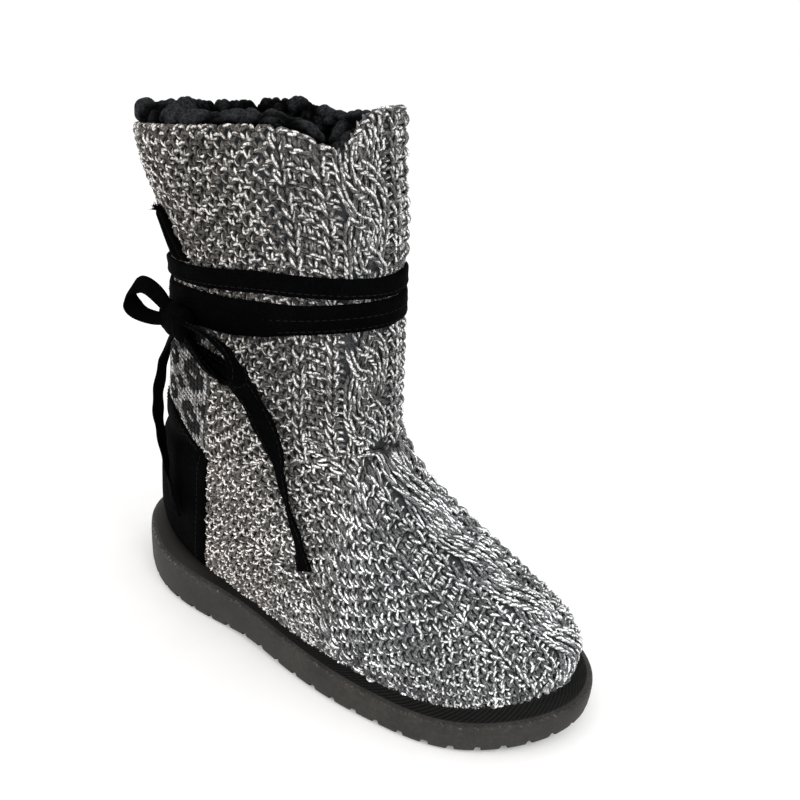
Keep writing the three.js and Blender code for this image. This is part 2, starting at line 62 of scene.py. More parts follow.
camera = bpy.data.objects.new("camera", bpy.data.cameras.new("camera"))
scene.collection.objects.link(camera)
scene.camera = camera
camera.data.sensor_width = 36
camera.data.lens = 36
camera.data.clip_start = 0.01
backward = Vector((
    math.sin(CAMERA_YAW) * math.cos(CAMERA_PITCH),
    -math.cos(CAMERA_YAW) * math.cos(CAMERA_PITCH),
    math.sin(CAMERA_PITCH),
))
level_right = (-backward).cross(Vector((0, 0, 1))).normalized()
level_up = level_right.cross(-backward)
right = level_right * math.cos(CAMERA_ROLL) + level_up * math.sin(CAMERA_ROLL)
top = level_up * math.cos(CAMERA_ROLL) - level_right * math.sin(CAMERA_ROLL)
turned = Matrix((right, top, backward)).transposed().to_4x4()
camera.matrix_world = Matrix.Translation(CAMERA_PLACE) @ turned
print("camera at", tuple(round(v, 3) for v in camera.location))

# %% [markdown]
# ## The surface that everything lies on
# A boot is drawn over a wooden last, so its surface is a set of sections stacked from the sole to the
# collar. These are the same sections as in the CAD source, in millimetres from the back of the heel.
# A level runs from 0 at the sole to 245 at the collar. An angle runs from the back of the heel over the
# inner side to the toe at half a turn, and back along the outer side. One function then places yarn,
# suede, ribbon and fleece alike, at any distance out.

# %% Sections of the last
TO_ROW = np.array([-134.0, 1.25578, 0.0])
LENGTH = 268
TOP_LEVEL = 245
WALL = 3
COLLAR_HEIGHT = 248.5
COLLAR_SLOPE = 15
COLLAR_MIDDLE = 0.4
TOE_SWING = 14
SHAFT_LEAN = 9
SEAM_PINCH = 1.8
SEAM_REACH = 6
LAST_LEVELS = [0, 14, 34, 54, 74, 94, 112, 140, 175, 205, 230, 245]
LAST_COLUMNS = {
    "back": [11, 9.5, 11, 14, 19.5, 25.5, 30.5, 34, 37, 35, 26.5, 24.5],
    "front": [257, 257.5, 238.5, 206, 176, 159.5, 154.5, 153.5, 152, 150.5, 147, 145.5],
    "heel": [45, 46.5, 45, 41.5, 40.5, 41.5, 43, 43.5, 43.5, 46, 49.5, 51],
    "waist": [42, 44.5, 43.5, 41, 41, 42.5, 43.5, 43.5, 43.5, 46, 49.5, 51],
    "ball": [49, 51, 47, 43.5, 42.5, 42.5, 43.5, 43.5, 43.5, 46, 49.5, 51],
    "toe": [59, 59.5, 53, 48, 44, 42.5, 43, 42.5, 42.5, 44, 47, 48.5],
    "arch": [5, 3.5, 2.5, 1.5, 0.5, 0, 0, 0, 0, 0, 0, 0],
}
HEIGHT_PLACES = [0, 14, 82, 112, 142, 215, 240, 268]
TREAD_HEIGHTS = [1, 0, 0, 1.6, 0, 0, 1.4, 5]
SIDE_HEIGHTS = [24.2, 24, 21.8, 19.8, 17.4, 14.8, 16, 19]
FEATHER_HEIGHTS = [27, 26.8, 25.2, 23.4, 21.4, 20.4, 22.4, 25]
STATIONS = np.array([0, 0.12, 0.4, 0.68, 0.9, 1])
print("sections", len(LAST_LEVELS))

# %% [markdown]
# ## Curves through the tables
# A boot's outline passes through each section and doesn't swell between two of them. A plain spline would
# swing past the numbers, so this is a cubic whose slopes are held back.

# %% Smooth curves
def smooth(places, values):
    """A curve through the pairs that never swings past them."""
    x = np.array(places, float)
    y = np.array(values, float)
    step = np.diff(x)
    slope = np.diff(y) / step
    tangent = np.zeros(len(y))
    tangent[0] = slope[0]
    tangent[-1] = slope[-1]
    for i in range(1, len(y) - 1):
        if slope[i - 1] * slope[i] > 0:
            before = 2 * step[i] + step[i - 1]
            after = step[i] + 2 * step[i - 1]
            tangent[i] = (before + after) / (before / slope[i - 1] + after / slope[i])

    def curve(value):
        at = np.clip(value, x[0], x[-1])
        i = np.clip(np.searchsorted(x, at) - 1, 0, len(step) - 1)
        t = (at - x[i]) / step[i]
        rest = 1 - t
        ends = y[i] * (1 + 2 * t) * rest**2 + y[i + 1] * t**2 * (3 - 2 * t)
        return ends + step[i] * t * rest * (tangent[i] * rest - tangent[i + 1] * t)

    return curve


last = {name: smooth(LAST_LEVELS, values) for name, values in LAST_COLUMNS.items()}
tread = smooth(HEIGHT_PLACES, TREAD_HEIGHTS)
side_top = smooth(HEIGHT_PLACES, SIDE_HEIGHTS)
feather = smooth(HEIGHT_PLACES, FEATHER_HEIGHTS)


def half_width(share, heel, waist, ball, toe):
    """Half the width of a section, at a share of its length."""
    values = np.stack(np.broadcast_arrays(heel, heel, waist, ball, toe, toe, share)[:6]).astype(float)
    share = np.broadcast_to(share, values.shape[1:])
    step = np.diff(STATIONS)
    slope = np.diff(values, axis=0) / step.reshape(-1, *[1] * share.ndim)
    tangent = np.zeros_like(values)
    for i in (2, 3):
        before = 2 * step[i] + step[i - 1]
        after = step[i] + 2 * step[i - 1]
        alike = slope[i - 1] * slope[i] > 0
        low = np.where(alike, slope[i - 1], 1)
        high = np.where(alike, slope[i], 1)
        tangent[i] = np.where(alike, (before + after) / (before / low + after / high), 0)
    i = np.clip(np.searchsorted(STATIONS, share) - 1, 0, 4)

    def pick(table, index):
        return np.take_along_axis(table, index[None], axis=0)[0]

    t = (share - STATIONS[i]) / step[i]
    rest = 1 - t
    ends = pick(values, i) * (1 + 2 * t) * rest**2 + pick(values, i + 1) * t**2 * (3 - 2 * t)
    return ends + step[i] * t * rest * (pick(tangent, i) * rest - pick(tangent, i + 1) * t)


print("sole's edge at the toe", float(feather(LENGTH)), "mm up")

# %% [markdown]
# ## A point on the boot
# Each level is a closed section, narrow at its waist and wide at its ball, with the foot's arch taken from
# its inner side. Higher sections lean outward, and the toe swings inward, as on a right boot.

# %% Points of the surface
def swing(x):
    """How far the toe turns to the inner side."""
    return TOE_SWING * np.clip((x / LENGTH - 0.45) / 0.55, 0, 1) ** 2


def section_place(level, share):
    """How far forward and how high a section is, at a share of its length."""
    back = last["back"](level)
    x = back + (last["front"](level) - back) * share
    height = level / TOP_LEVEL
    collar = COLLAR_HEIGHT + COLLAR_SLOPE * (share - COLLAR_MIDDLE)
    return x, feather(x) * (1 - height) + collar * height


def last_point(level, angle):
    """A point of the smooth surface."""
    level, angle = np.broadcast_arrays(np.asarray(level, float), np.asarray(angle, float))
    share = (1 - np.cos(angle)) / 2
    side = np.sin(angle)
    x, z = section_place(level, share)
    arch = np.where(side > 0, last["arch"](level), 0)
    width = half_width(
        share, last["heel"](level), last["waist"](level) - arch, last["ball"](level) - arch,
        last["toe"](level),
    )
    y = side * width + swing(x) - SHAFT_LEAN * (level / TOP_LEVEL)
    return np.stack([x, y, z], axis=-1)


def unit(vectors):
    return vectors / np.maximum(np.linalg.norm(vectors, axis=-1, keepdims=True), 1e-9)


def last_normal(level, angle):
    """The way out of the surface."""
    rise = last_point(level + 0.5, angle) - last_point(level - 0.5, angle)
    turn = last_point(level, angle + 0.01) - last_point(level, angle - 0.01)
    return unit(np.cross(rise, turn))


print("toe at", np.round(last_point(0, math.pi), 1), "collar back at", np.round(last_point(TOP_LEVEL, 0), 1))

# %% [markdown]
# ## Lines on the boot
# The ankle seam, the collar's edge and the two turns of ribbon all run round the boot, so each is a level
# that changes with the angle. The seam is drawn in by its stitching, so what lies near it sinks too.

# %% Seam, collar and ribbon lines
seam_table = smooth([0, 60, 80, 100, 125, 155, 180], [76, 77, 79, 87, 95, 99.5, 98])
COLLAR_LIFT = {"height": 5, "angle": 163, "reach": 33}
COLLAR_DIP = {"depth": 10, "angle": 206, "inner reach": 9, "outer reach": 16, "outer from": 205}


def from_back(angle):
    """Degrees from the back of the heel, either way round."""
    degrees = np.degrees(angle) % 360
    return np.where(degrees > 180, 360 - degrees, degrees)


def seam_level(angle):
    """The ankle seam, where foot and shaft are sewn together."""
    return seam_table(from_back(angle))


def near_seam(level, angle):
    """A mask that is 1 on the ankle seam and falls away beside it."""
    return np.exp(-(((level - seam_level(angle)) / SEAM_REACH) ** 2))


def collar_level(angle):
    """The collar's edge, with the dip beside its front where the fleece pulls it down."""
    degrees = np.degrees(angle) % 360
    outer = degrees > COLLAR_DIP["outer from"]
    reach = np.where(outer, COLLAR_DIP["outer reach"], COLLAR_DIP["inner reach"])
    lift = np.exp(-(((degrees - COLLAR_LIFT["angle"]) / COLLAR_LIFT["reach"]) ** 6))
    dip = np.exp(-(((degrees - COLLAR_DIP["angle"]) / reach) ** 2))
    return TOP_LEVEL + COLLAR_LIFT["height"] * lift - COLLAR_DIP["depth"] * dip


LEVEL_HEIGHT = (COLLAR_HEIGHT - FEATHER_HEIGHTS[0]) / TOP_LEVEL
UPPER_WRAP = {
    "angle": [0, 90, 176, 203, 228, 250, 266, 290, 360],
    "level": [177.6, 178.5, 178.5, 179.6, 181.2, 182.8, 182, 179.9, 177.6],
    "width": [8.8, 8.8, 8.8, 8.2, 8.6, 9.2, 8.8, 8.8, 8.8],
}
LOWER_WRAP = {
    "angle": [0, 90, 178, 205, 228, 247, 264, 288, 325, 360],
    "level": [164.6, 165.8, 166.6, 166.6, 166.4, 166.1, 165.1, 164.4, 164.4, 164.6],
    "width": [12, 12, 11.6, 11.6, 12, 14.4, 15.6, 15.6, 12, 12],
}


def wrap_level(table):
    """The level of a turn of ribbon, from -1 at its lower edge to 1 at its upper edge."""
    middle = smooth(table["angle"], table["level"])
    width = smooth(table["angle"], table["width"])
    return lambda degrees, up: middle(degrees) + up * width(degrees) / 2 / LEVEL_HEIGHT


upper_wrap = wrap_level(UPPER_WRAP)
lower_wrap = wrap_level(LOWER_WRAP)


def skin(level, angle, out):
    """A point out from the surface, with the ankle seam drawn in, and the way out there."""
    level, angle, out = np.broadcast_arrays(*(np.asarray(v, float) for v in (level, angle, out)))
    pinch = SEAM_PINCH * near_seam(level, angle)
    normal = last_normal(level, angle)
    return last_point(level, angle) + normal * (out - pinch)[..., None], normal


print("ankle seam from level", float(seam_level(0.0)), "to", float(seam_level(math.pi)))

# %% [markdown]
# ## Tools for making meshes
# Yarn, thread, ribbon and fleece are all grids of points. A tube is a ring of points carried along a
# path, and thousands of short tubes are made at once as arrays and joined in one mesh.

# %% Grids and pieces
RING = 2 * math.pi
THREAD_TAPER = np.array([0.5, 1, 1, 1, 0.5])


def ring_angles(columns):
    """Even angles once round."""
    return np.linspace(0, RING, columns, endpoint=False)


def run_along(points):
    """How far along a line each of its points is."""
    return np.concatenate([[0], np.cumsum(np.linalg.norm(np.diff(points, axis=0), axis=1))])


def grid_faces(rows, columns, close_rows=False, close_columns=False):
    """Four-cornered faces over a grid of points kept row by row."""
    row = np.arange(rows if close_rows else rows - 1)[:, None]
    column = np.arange(columns if close_columns else columns - 1)[None]
    next_row = (row + 1) % rows
    next_column = (column + 1) % columns
    corners = (
        row * columns + column, row * columns + next_column,
        next_row * columns + next_column, next_row * columns + column,
    )
    return np.stack(np.broadcast_arrays(*corners), axis=-1).reshape(-1, 4)


def turned_out(points, faces):
    """The faces, turned so that a closed mesh has them outward."""
    a, b, c, d = (points[faces[:, k]] for k in range(4))
    middle = points.mean(axis=0)
    volume = np.einsum("ij,ij->i", (a + b + c + d) / 4 - middle, np.cross(c - a, d - b)).sum()
    return faces if volume > 0 else faces[:, ::-1]


def add_piece(name, points, faces, material, slot, replaced=(), marks=None):
    """A smooth mesh piece from points in boot millimetres, riding on the frame."""
    mesh = bpy.data.meshes.new(name)
    placed = ((points.reshape(-1, 3) + TO_ROW) / 1000).astype(np.float32)
    faces = np.ascontiguousarray(faces, dtype=np.int32)
    mesh.vertices.add(len(placed))
    mesh.vertices.foreach_set("co", placed.ravel())
    mesh.loops.add(faces.size)
    mesh.loops.foreach_set("vertex_index", faces.ravel())
    mesh.polygons.add(len(faces))
    mesh.polygons.foreach_set("loop_start", np.arange(0, faces.size, 4, dtype=np.int32))
    for key, values in (marks or {}).items():
        wide = values.ndim > 1
        mark = mesh.attributes.new(key, "FLOAT_VECTOR" if wide else "FLOAT", "POINT")
        mark.data.foreach_set("vector" if wide else "value", values.astype(np.float32).ravel())
    mesh.update(calc_edges=True)
    mesh.validate()
    mesh.shade_smooth()
    mesh.materials.append(material)
    piece = bpy.data.objects.new(name, mesh)
    scene.collection.objects.link(piece)
    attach(piece, "root")
    if replaced:
        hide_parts(*replaced)
    print(name, len(faces) * 2, "triangles")
    return piece


print("faces of a tube of 5 rings", len(grid_faces(5, 4, close_columns=True)))

# %% Tubes and threads
def tubes(paths, normals, radius, sides):
    """Rings round many short paths at once. Paths are tubes by points by 3."""
    ahead = unit(np.gradient(paths, axis=1))
    across = unit(np.cross(ahead, normals))
    up = np.cross(across, ahead)
    turn = RING * np.arange(sides) / sides
    ring = up[:, :, None] * np.cos(turn)[:, None] + across[:, :, None] * np.sin(turn)[:, None]
    points = paths[:, :, None] + ring * np.broadcast_to(radius, paths.shape[:2])[..., None, None]
    count, steps = paths.shape[:2]
    one = grid_faces(steps, sides, close_columns=True)
    faces = (np.arange(count)[:, None, None] * steps * sides + one).reshape(-1, 4)
    return points, faces


def along_line(points, normals, starts, length, steps, lift):
    """Short pieces of a long line, each from a start and of one length, bowed out by lift."""
    run = run_along(points)
    share = np.linspace(0, 1, steps)
    at = starts[:, None] + share * length
    paths = np.stack([np.interp(at, run, points[:, k]) for k in range(3)], axis=-1)
    facing = unit(np.stack([np.interp(at, run, normals[:, k]) for k in range(3)], axis=-1))
    return paths + facing * (lift * np.sin(math.pi * share))[None, :, None], facing


def running_stitch(points, normals, pitch, length, radius, lift):
    """Thread that shows as a row of short stitches along a line."""
    total = np.linalg.norm(np.diff(points, axis=0), axis=1).sum()
    starts = np.arange(pitch / 2, total - length, pitch)
    paths, facing = along_line(points, normals, starts, length, len(THREAD_TAPER), lift)
    return tubes(paths, facing, radius * THREAD_TAPER, 4)


def joined(parts):
    """Several sets of points and faces as one."""
    points = []
    faces = []
    start = 0
    for some_points, some_faces in parts:
        flat = some_points.reshape(-1, 3)
        points.append(flat)
        faces.append(some_faces + start)
        start += len(flat)
    return np.concatenate(points), np.concatenate(faces)


print("a thread's thickness along a stitch", THREAD_TAPER)

# %% [markdown]
# ## Effects that several materials share
# Yarn, suede and fleece are all made of fine fibres, so one group gives their grain and another their
# slow changes of tone. Marled yarn is spun from a white strand and darker ones twisted together: each
# tube of yarn carries a mark that turns round it along its length, and the group reads that as strands.

# %% Node helpers
def new_group(name, inputs, outputs):
    group = bpy.data.node_groups.new(name, "ShaderNodeTree")
    for label, kind, value in inputs:
        socket = group.interface.new_socket(label, in_out="INPUT", socket_type=kind)
        socket.default_value = value
    for label, kind in outputs:
        group.interface.new_socket(label, in_out="OUTPUT", socket_type=kind)
    return group, group.nodes.new("NodeGroupInput"), group.nodes.new("NodeGroupOutput")


def feed(tree, value, socket):
    """Links a socket to another one, or sets it to a plain value."""
    if hasattr(value, "is_linked"):
        tree.links.new(value, socket)
    else:
        socket.default_value = value


def noise(tree, scale, detail, roughness):
    """Noise in the object's own metres."""
    place = tree.nodes.new("ShaderNodeTexCoord")
    texture = tree.nodes.new("ShaderNodeTexNoise")
    texture.inputs["Detail"].default_value = detail
    texture.inputs["Roughness"].default_value = roughness
    tree.links.new(place.outputs["Object"], texture.inputs["Vector"])
    feed(tree, scale, texture.inputs["Scale"])
    return texture.outputs["Fac"]


def ranged(tree, value, low, high, start, end):
    """A value from one range spread over another, smoothly."""
    node = tree.nodes.new("ShaderNodeMapRange")
    node.interpolation_type = "SMOOTHSTEP"
    tree.links.new(value, node.inputs["Value"])
    for label, number in (("From Min", low), ("From Max", high), ("To Min", start), ("To Max", end)):
        node.inputs[label].default_value = number
    return node.outputs["Result"]


def maths(tree, operation, first, second):
    node = tree.nodes.new("ShaderNodeMath")
    node.operation = operation
    for socket, value in zip(node.inputs, (first, second)):
        feed(tree, value, socket)
    return node.outputs[0]


def mixed(tree, share, first, second):
    """A colour between two colours, which the mix node keeps at 6 and 7, with its result at 2."""
    node = tree.nodes.new("ShaderNodeMix")
    node.data_type = "RGBA"
    for place, value in ((0, share), (6, first), (7, second)):
        feed(tree, value, node.inputs[place])
    return node.outputs[2]


def marked(tree, name):
    """A mark that the mesh carries at its points."""
    node = tree.nodes.new("ShaderNodeAttribute")
    node.attribute_name = name
    return node


def grey(value, warm=0.0):
    return (value * (1 + warm), value, value * (1 - warm), 1)


print("a warm grey", grey(0.5, 0.1))

# %% Grain and strand groups
fibre, fibre_in, fibre_out = new_group(
    "fibre_grain",
    [("Scale", "NodeSocketFloat", 900.0), ("Spread", "NodeSocketFloat", 0.5)],
    [("Height", "NodeSocketFloat"), ("Tone", "NodeSocketFloat")],
)
fine = noise(fibre, fibre_in.outputs["Scale"], 4, 0.7)
slow = noise(fibre, 60.0, 3, 0.6)
fibre.links.new(maths(fibre, "ADD", fine, maths(fibre, "MULTIPLY", slow, 0.5)), fibre_out.inputs["Height"])
spread = maths(fibre, "MULTIPLY", ranged(fibre, fine, 0.3, 0.7, -1, 1), fibre_in.outputs["Spread"])
tone = maths(fibre, "MULTIPLY", maths(fibre, "ADD", spread, 1.0), ranged(fibre, slow, 0.3, 0.7, 0.8, 1.2))
fibre.links.new(tone, fibre_out.inputs["Tone"])

strands, _, strands_out = new_group(
    "yarn_strands",
    [],
    [("Light", "NodeSocketFloat"), ("Mid", "NodeSocketFloat"), ("Chance", "NodeSocketFloat")],
)
parts = strands.nodes.new("ShaderNodeSeparateXYZ")
strands.links.new(marked(strands, "twist").outputs["Vector"], parts.inputs[0])
squares = maths(
    strands, "ADD", maths(strands, "POWER", parts.outputs[0], 2.0),
    maths(strands, "POWER", parts.outputs[1], 2.0),
)
size = maths(strands, "MAXIMUM", maths(strands, "SQRT", squares, 0.0), 0.01)
cosine = maths(strands, "DIVIDE", parts.outputs[0], size)
sine = maths(strands, "DIVIDE", parts.outputs[1], size)
stray = ranged(strands, noise(strands, 900.0, 2, 0.6), 0.25, 0.75, -0.25, 0.25)
light = maths(strands, "ADD", cosine, stray)
other = maths(
    strands, "ADD", maths(strands, "MULTIPLY", cosine, -0.67), maths(strands, "MULTIPLY", sine, -0.75)
)
other = maths(strands, "ADD", other, stray)
strands.links.new(ranged(strands, light, 0.45, 0.9, 0, 1), strands_out.inputs["Light"])
strands.links.new(ranged(strands, other, 0.0, 0.9, 0, 1), strands_out.inputs["Mid"])
strands.links.new(parts.outputs[2], strands_out.inputs["Chance"])
print("groups", [group.name for group in bpy.data.node_groups])

# %% [markdown]
# ## Materials
# The wool is white, mid grey and near black, and it scatters light softly. Painted shade and light are in
# its colour: it is darker and warmer towards the heel, the side away from the key light, and brighter low
# on the foot, as painted light bounced from the floor; yarn that lies low shows less of its pale strand,
# as painted shade. Suede and fleece are close to black: what shows is the nap, so they have grain and
# hardly any gloss. The fleece has a painted highlight on the tops of its curls and painted shade between
# them. The rubber is dark grey with a low gloss, paler where its edges have been rubbed, darker on its
# rim, with painted shade in the grooves of its ribs.

# %% Material helpers
def new_material(name):
    material = bpy.data.materials.new(name)
    material.use_nodes = True
    tree = material.node_tree
    shader = tree.nodes["Principled BSDF"]
    shader.inputs["Roughness"].default_value = 0.9
    shader.inputs["Specular IOR Level"].default_value = 0.25
    return material, tree, shader


def use_group(tree, group, **values):
    node = tree.nodes.new("ShaderNodeGroup")
    node.node_tree = group
    for label, value in values.items():
        node.inputs[label].default_value = value
    return node


def bumped(tree, shader, height, strength, distance):
    bump = tree.nodes.new("ShaderNodeBump")
    bump.inputs["Strength"].default_value = strength
    bump.inputs["Distance"].default_value = distance
    tree.links.new(height, bump.inputs["Height"])
    tree.links.new(bump.outputs["Normal"], shader.inputs["Normal"])


def toned(tree, colour, tone):
    """A colour made lighter or darker by a tone about 1."""
    node = tree.nodes.new("ShaderNodeVectorMath")
    node.operation = "SCALE"
    if hasattr(colour, "is_linked"):
        tree.links.new(colour, node.inputs[0])
    else:
        node.inputs[0].default_value = colour[:3]
    tree.links.new(tone, node.inputs["Scale"])
    return node.outputs[0]


def surfaced(tree, shader, grain, colour, strength, distance, rough=None):
    """Colour, roughness and bump from one grain."""
    tone = grain.outputs["Tone"]
    tree.links.new(toned(tree, colour, tone), shader.inputs["Base Color"])
    if rough:
        tree.links.new(ranged(tree, tone, 0.6, 1.4, *rough), shader.inputs["Roughness"])
    bumped(tree, shader, grain.outputs["Height"], strength, distance)


print("groups to use", fibre.name, strands.name)

# %% Two kinds of wool
def marled_wool():
    material, tree, shader = new_material("marled_wool")
    yarn = use_group(tree, strands)
    grain = use_group(tree, fibre, Scale=1300.0, Spread=1.0)
    place = tree.nodes.new("ShaderNodeTexCoord")
    split = tree.nodes.new("ShaderNodeSeparateXYZ")
    tree.links.new(place.outputs["Object"], split.inputs[0])
    # painted shade: towards the heel, the side away from the key light, the wool is made darker and warmer
    warm = ranged(tree, split.outputs[0], 0.05, -0.04, 0, 1)
    dark = mixed(tree, warm, grey(0.06, -0.02), grey(0.052, 0.1))
    mid = mixed(tree, warm, grey(0.16, -0.03), grey(0.135, 0.1))
    pale = mixed(tree, warm, grey(0.8, -0.01), grey(0.72, 0.04))
    base = mixed(tree, yarn.outputs["Mid"], dark, mid)
    often = ranged(tree, yarn.outputs["Chance"], 0.15, 0.4, 0.1, 1)
    share = maths(tree, "MULTIPLY", yarn.outputs["Light"], often)
    colour = mixed(tree, share, base, pale)
    # painted light: the wool is made brighter low on the foot and darker high on the shaft, as if bounced
    # from the floor
    low = ranged(tree, split.outputs[2], 0.17, 0.07, 0.9, 1.2)
    tone = maths(tree, "MULTIPLY", grain.outputs["Tone"], low)
    tree.links.new(toned(tree, colour, tone), shader.inputs["Base Color"])
    shader.inputs["Sheen Weight"].default_value = 0.1
    bumped(tree, shader, grain.outputs["Height"], 0.5, 0.0004)
    return material


def stranded_wool():
    material, tree, shader = new_material("stranded_wool")
    dye = marked(tree, "dye")
    grain = use_group(tree, fibre, Scale=1400.0)
    yarn = use_group(tree, strands)
    often = ranged(tree, yarn.outputs["Chance"], 0.3, 0.7, 0.1, 1)
    shown = maths(tree, "MULTIPLY", yarn.outputs["Light"], often)
    pale = mixed(tree, shown, grey(0.15, 0.03), grey(0.62, 0.02))
    black = mixed(tree, yarn.outputs["Light"], grey(0.006), grey(0.02))
    colour = mixed(tree, dye.outputs["Fac"], pale, black)
    surfaced(tree, shader, grain, colour, 0.4, 0.0003)
    return material


WOOL = marled_wool()
STRANDED = stranded_wool()
print("wool", WOOL.name, STRANDED.name)

# %% Suede, fleece and rubber
def soft_black(name, value, scale, strength, distance):
    material, tree, shader = new_material(name)
    grain = use_group(tree, fibre, Scale=scale)
    shader.inputs["Specular IOR Level"].default_value = 0.01
    surfaced(tree, shader, grain, grey(value, -0.06), strength, distance, (0.98, 0.8))
    return material


def curly_fleece():
    material, tree, shader = new_material("curly_fleece")
    grain = use_group(tree, fibre, Scale=800.0, Spread=0.7)
    # painted highlight and shade: the tops of the curls are painted paler and the hollows between them near
    # black
    curl_light_and_shade = ranged(tree, marked(tree, "curl").outputs["Fac"], 0.6, 1.0, 0, 1)
    colour = mixed(tree, curl_light_and_shade, grey(0.0004, -0.05), grey(0.032, -0.08))
    shader.inputs["Specular IOR Level"].default_value = 0.05
    surfaced(tree, shader, grain, colour, 1.0, 0.003, (1.0, 0.85))
    return material


def dark_rubber():
    material, tree, shader = new_material("dark_rubber")
    wear_and_shade = marked(tree, "wear_and_shade")
    grain = use_group(tree, fibre, Scale=500.0, Spread=0.2)
    patchy = ranged(tree, noise(tree, 800.0, 4, 0.7), 0.54, 0.68, 0, 1)
    share = maths(tree, "MULTIPLY", wear_and_shade.outputs["Fac"], patchy)
    colour = mixed(tree, share, grey(0.034, 0.08), grey(0.26, 0.03))
    # wear above 0 is rubbed paler in speckles; below 0 the rim is darker, with painted shade in the grooves
    # of its ribs
    colour = mixed(tree, ranged(tree, wear_and_shade.outputs["Fac"], 0, -1, 0, 1), colour, grey(0.002))
    shader.inputs["Specular IOR Level"].default_value = 0.14
    surfaced(tree, shader, grain, colour, 0.12, 0.0003, (0.55, 0.75))
    return material


# the backing's dark grey stands for the back of the stitches and for painted shade between the loops
BACKING_SHADE = soft_black("knit_backing_shade", 0.075, 1500.0, 0.6, 0.0008)
SUEDE = soft_black("black_suede", 0.0014, 1100.0, 0.5, 0.0003)
RIBBON = soft_black("ribbon_suede", 0.0014, 1300.0, 0.4, 0.0002)
THREAD = soft_black("sewing_thread", 0.012, 2000.0, 0.3, 0.0001)
FLEECE = curly_fleece()
RUBBER = dark_rubber()
print("materials", len(bpy.data.materials))

# %% [markdown]
# ## The ribbon's free ends and its bow
# The bow is tied in the ribbon's two ends. On each side one length of ribbon leaves the knot, makes a
# loop back to it, passes under its band and hangs down as a free end, so each is one cord. Their
# routes are those of the CAD solids: the loops are teardrops, and the ends follow the boot.

# %% Ribbon routes
KNOT_LEVEL = 157
KNOT_ANGLE = math.radians(289)
KNOT_OUT = 7.25
# Each row of an end is its level, angle in degrees, distance out, width and twist in degrees.
FRONT_END = np.array([
    [143.6, 286, 3.8, 11.5, 0], [139.6, 272, 3.5, 11.5, 0], [133.5, 258, 2.8, 11.5, 0],
    [123, 250.5, 2.6, 11, 0], [111, 245, 2.7, 11, 0], [99, 242.2, 3.4, 10, 20], [86, 242.4, 3.9, 8, 38],
    [72, 245, 3.7, 7, 44], [57, 250.2, 2.8, 7.5, 25], [44, 255.2, 2.4, 8.5, 5],
])
BACK_END = np.array([
    [149.3, 293.5, 6.4, 11, 20], [138, 300, 7.5, 10, 40], [122, 303, 9.5, 8, 55], [104, 305, 10.5, 7, 60],
    [86, 306, 10, 7, 50], [66, 307, 8.5, 9, 35], [46, 309, 6.6, 11, 15], [28, 310, 5, 12, 0],
])
FRONT_LOOP = {
    "reach": 46, "belly": 8, "width": 13, "along": [0.95, -0.17, -0.23], "rise": [0.25, -0.1, 0.96],
}
BACK_LOOP = {
    "reach": 24, "belly": 7, "width": 9.5, "along": [-0.88, -0.3, 0.42], "rise": [0.35, 0.1, 0.93],
}

knot_centre, knot_out = skin(KNOT_LEVEL, KNOT_ANGLE, KNOT_OUT)
knot_up = unit(np.array([0, 0, 1]) - knot_out * knot_out[2])
knot_along = -np.cross(knot_up, knot_out)


def catmull(places, steps):
    """A smooth line through points, with the share of the way along it."""
    share = np.linspace(0, 1, steps)
    at = share * (len(places) - 1)
    i = np.clip(np.floor(at).astype(int), 0, len(places) - 2)
    t = (at - i)[:, None]
    padded = np.concatenate([[2 * places[0] - places[1]], places, [2 * places[-1] - places[-2]]])
    a, b, c, d = (padded[i + k] for k in range(4))
    bend = (2 * a - 5 * b + 4 * c - d) * t**2 + (3 * b - a - 3 * c + d) * t**3
    return 0.5 * (2 * b + (c - a) * t + bend), share


def rotated(vectors, axes, angles):
    """Vectors turned about axes."""
    c = np.cos(angles)[:, None]
    s = np.sin(angles)[:, None]
    along = (vectors * axes).sum(axis=1, keepdims=True)
    return vectors * c + np.cross(axes, vectors) * s + axes * along * (1 - c)


def loop_route(loop, steps=44):
    along = unit(np.array(loop["along"], float))
    rise = np.array(loop["rise"], float)
    rise = unit(rise - along * rise.dot(along))
    across = unit(np.cross(along, rise) + 0.25 * along + 0.75 * rise)
    turn = np.linspace(0, 1, steps)[:, None]
    points = knot_centre + along * loop["reach"] * np.sin(math.pi * turn)
    points = points + rise * loop["belly"] * np.sin(2 * math.pi * turn)
    width = loop["width"] * (0.5 + 0.5 * np.sin(math.pi * turn[:, 0]))
    return points, np.broadcast_to(across, points.shape), width


def end_route(rows, steps=64):
    places, _ = skin(rows[:, 0], np.radians(rows[:, 1]), rows[:, 2])
    points, share = catmull(places, steps)
    knots = np.linspace(0, 1, len(rows))
    level, angle, width, turn = (smooth(knots, rows[:, k])(share) for k in (0, 1, 3, 4))
    along = unit(np.gradient(points, axis=0))
    normal = last_normal(level, np.radians(angle))
    across = rotated(unit(np.cross(along, normal)), along, np.radians(turn))
    return points, across, width


def blended(route, other):
    """One route that goes on into another, its direction across turning between them."""
    points, across, width = (np.concatenate(pair) for pair in zip(route, other))
    join = len(route[0])
    if (across[join - 1] * across[join]).sum() < 0:
        across = np.concatenate([across[:join], -across[join:]])
    soft = across.copy()
    for i in range(join - 4, join + 5):
        share = (i - join + 5) / 10
        soft[i] = across[join - 5] * (1 - share) + across[join + 5] * share
    return points, unit(soft), width


print("knot at", np.round(knot_centre, 1))

# %% [markdown]
# ## The ribbon's shape and its knot
# A bevelled curve would give the ribbon a hard, even section. Suede ribbon cups a little, has soft edges and
# ripples, so it is a strip of rings along its route. The knot is a band pulled tight: a short barrel with
# slanting folds pressed into it.

# %% Ribbon strip and knot
def ribbon_frame(points, across):
    """The ways across a ribbon and out of its face, square to its route."""
    along = unit(np.gradient(points, axis=0))
    across = unit(across - along * (across * along).sum(axis=1, keepdims=True))
    return across, np.cross(along, across)


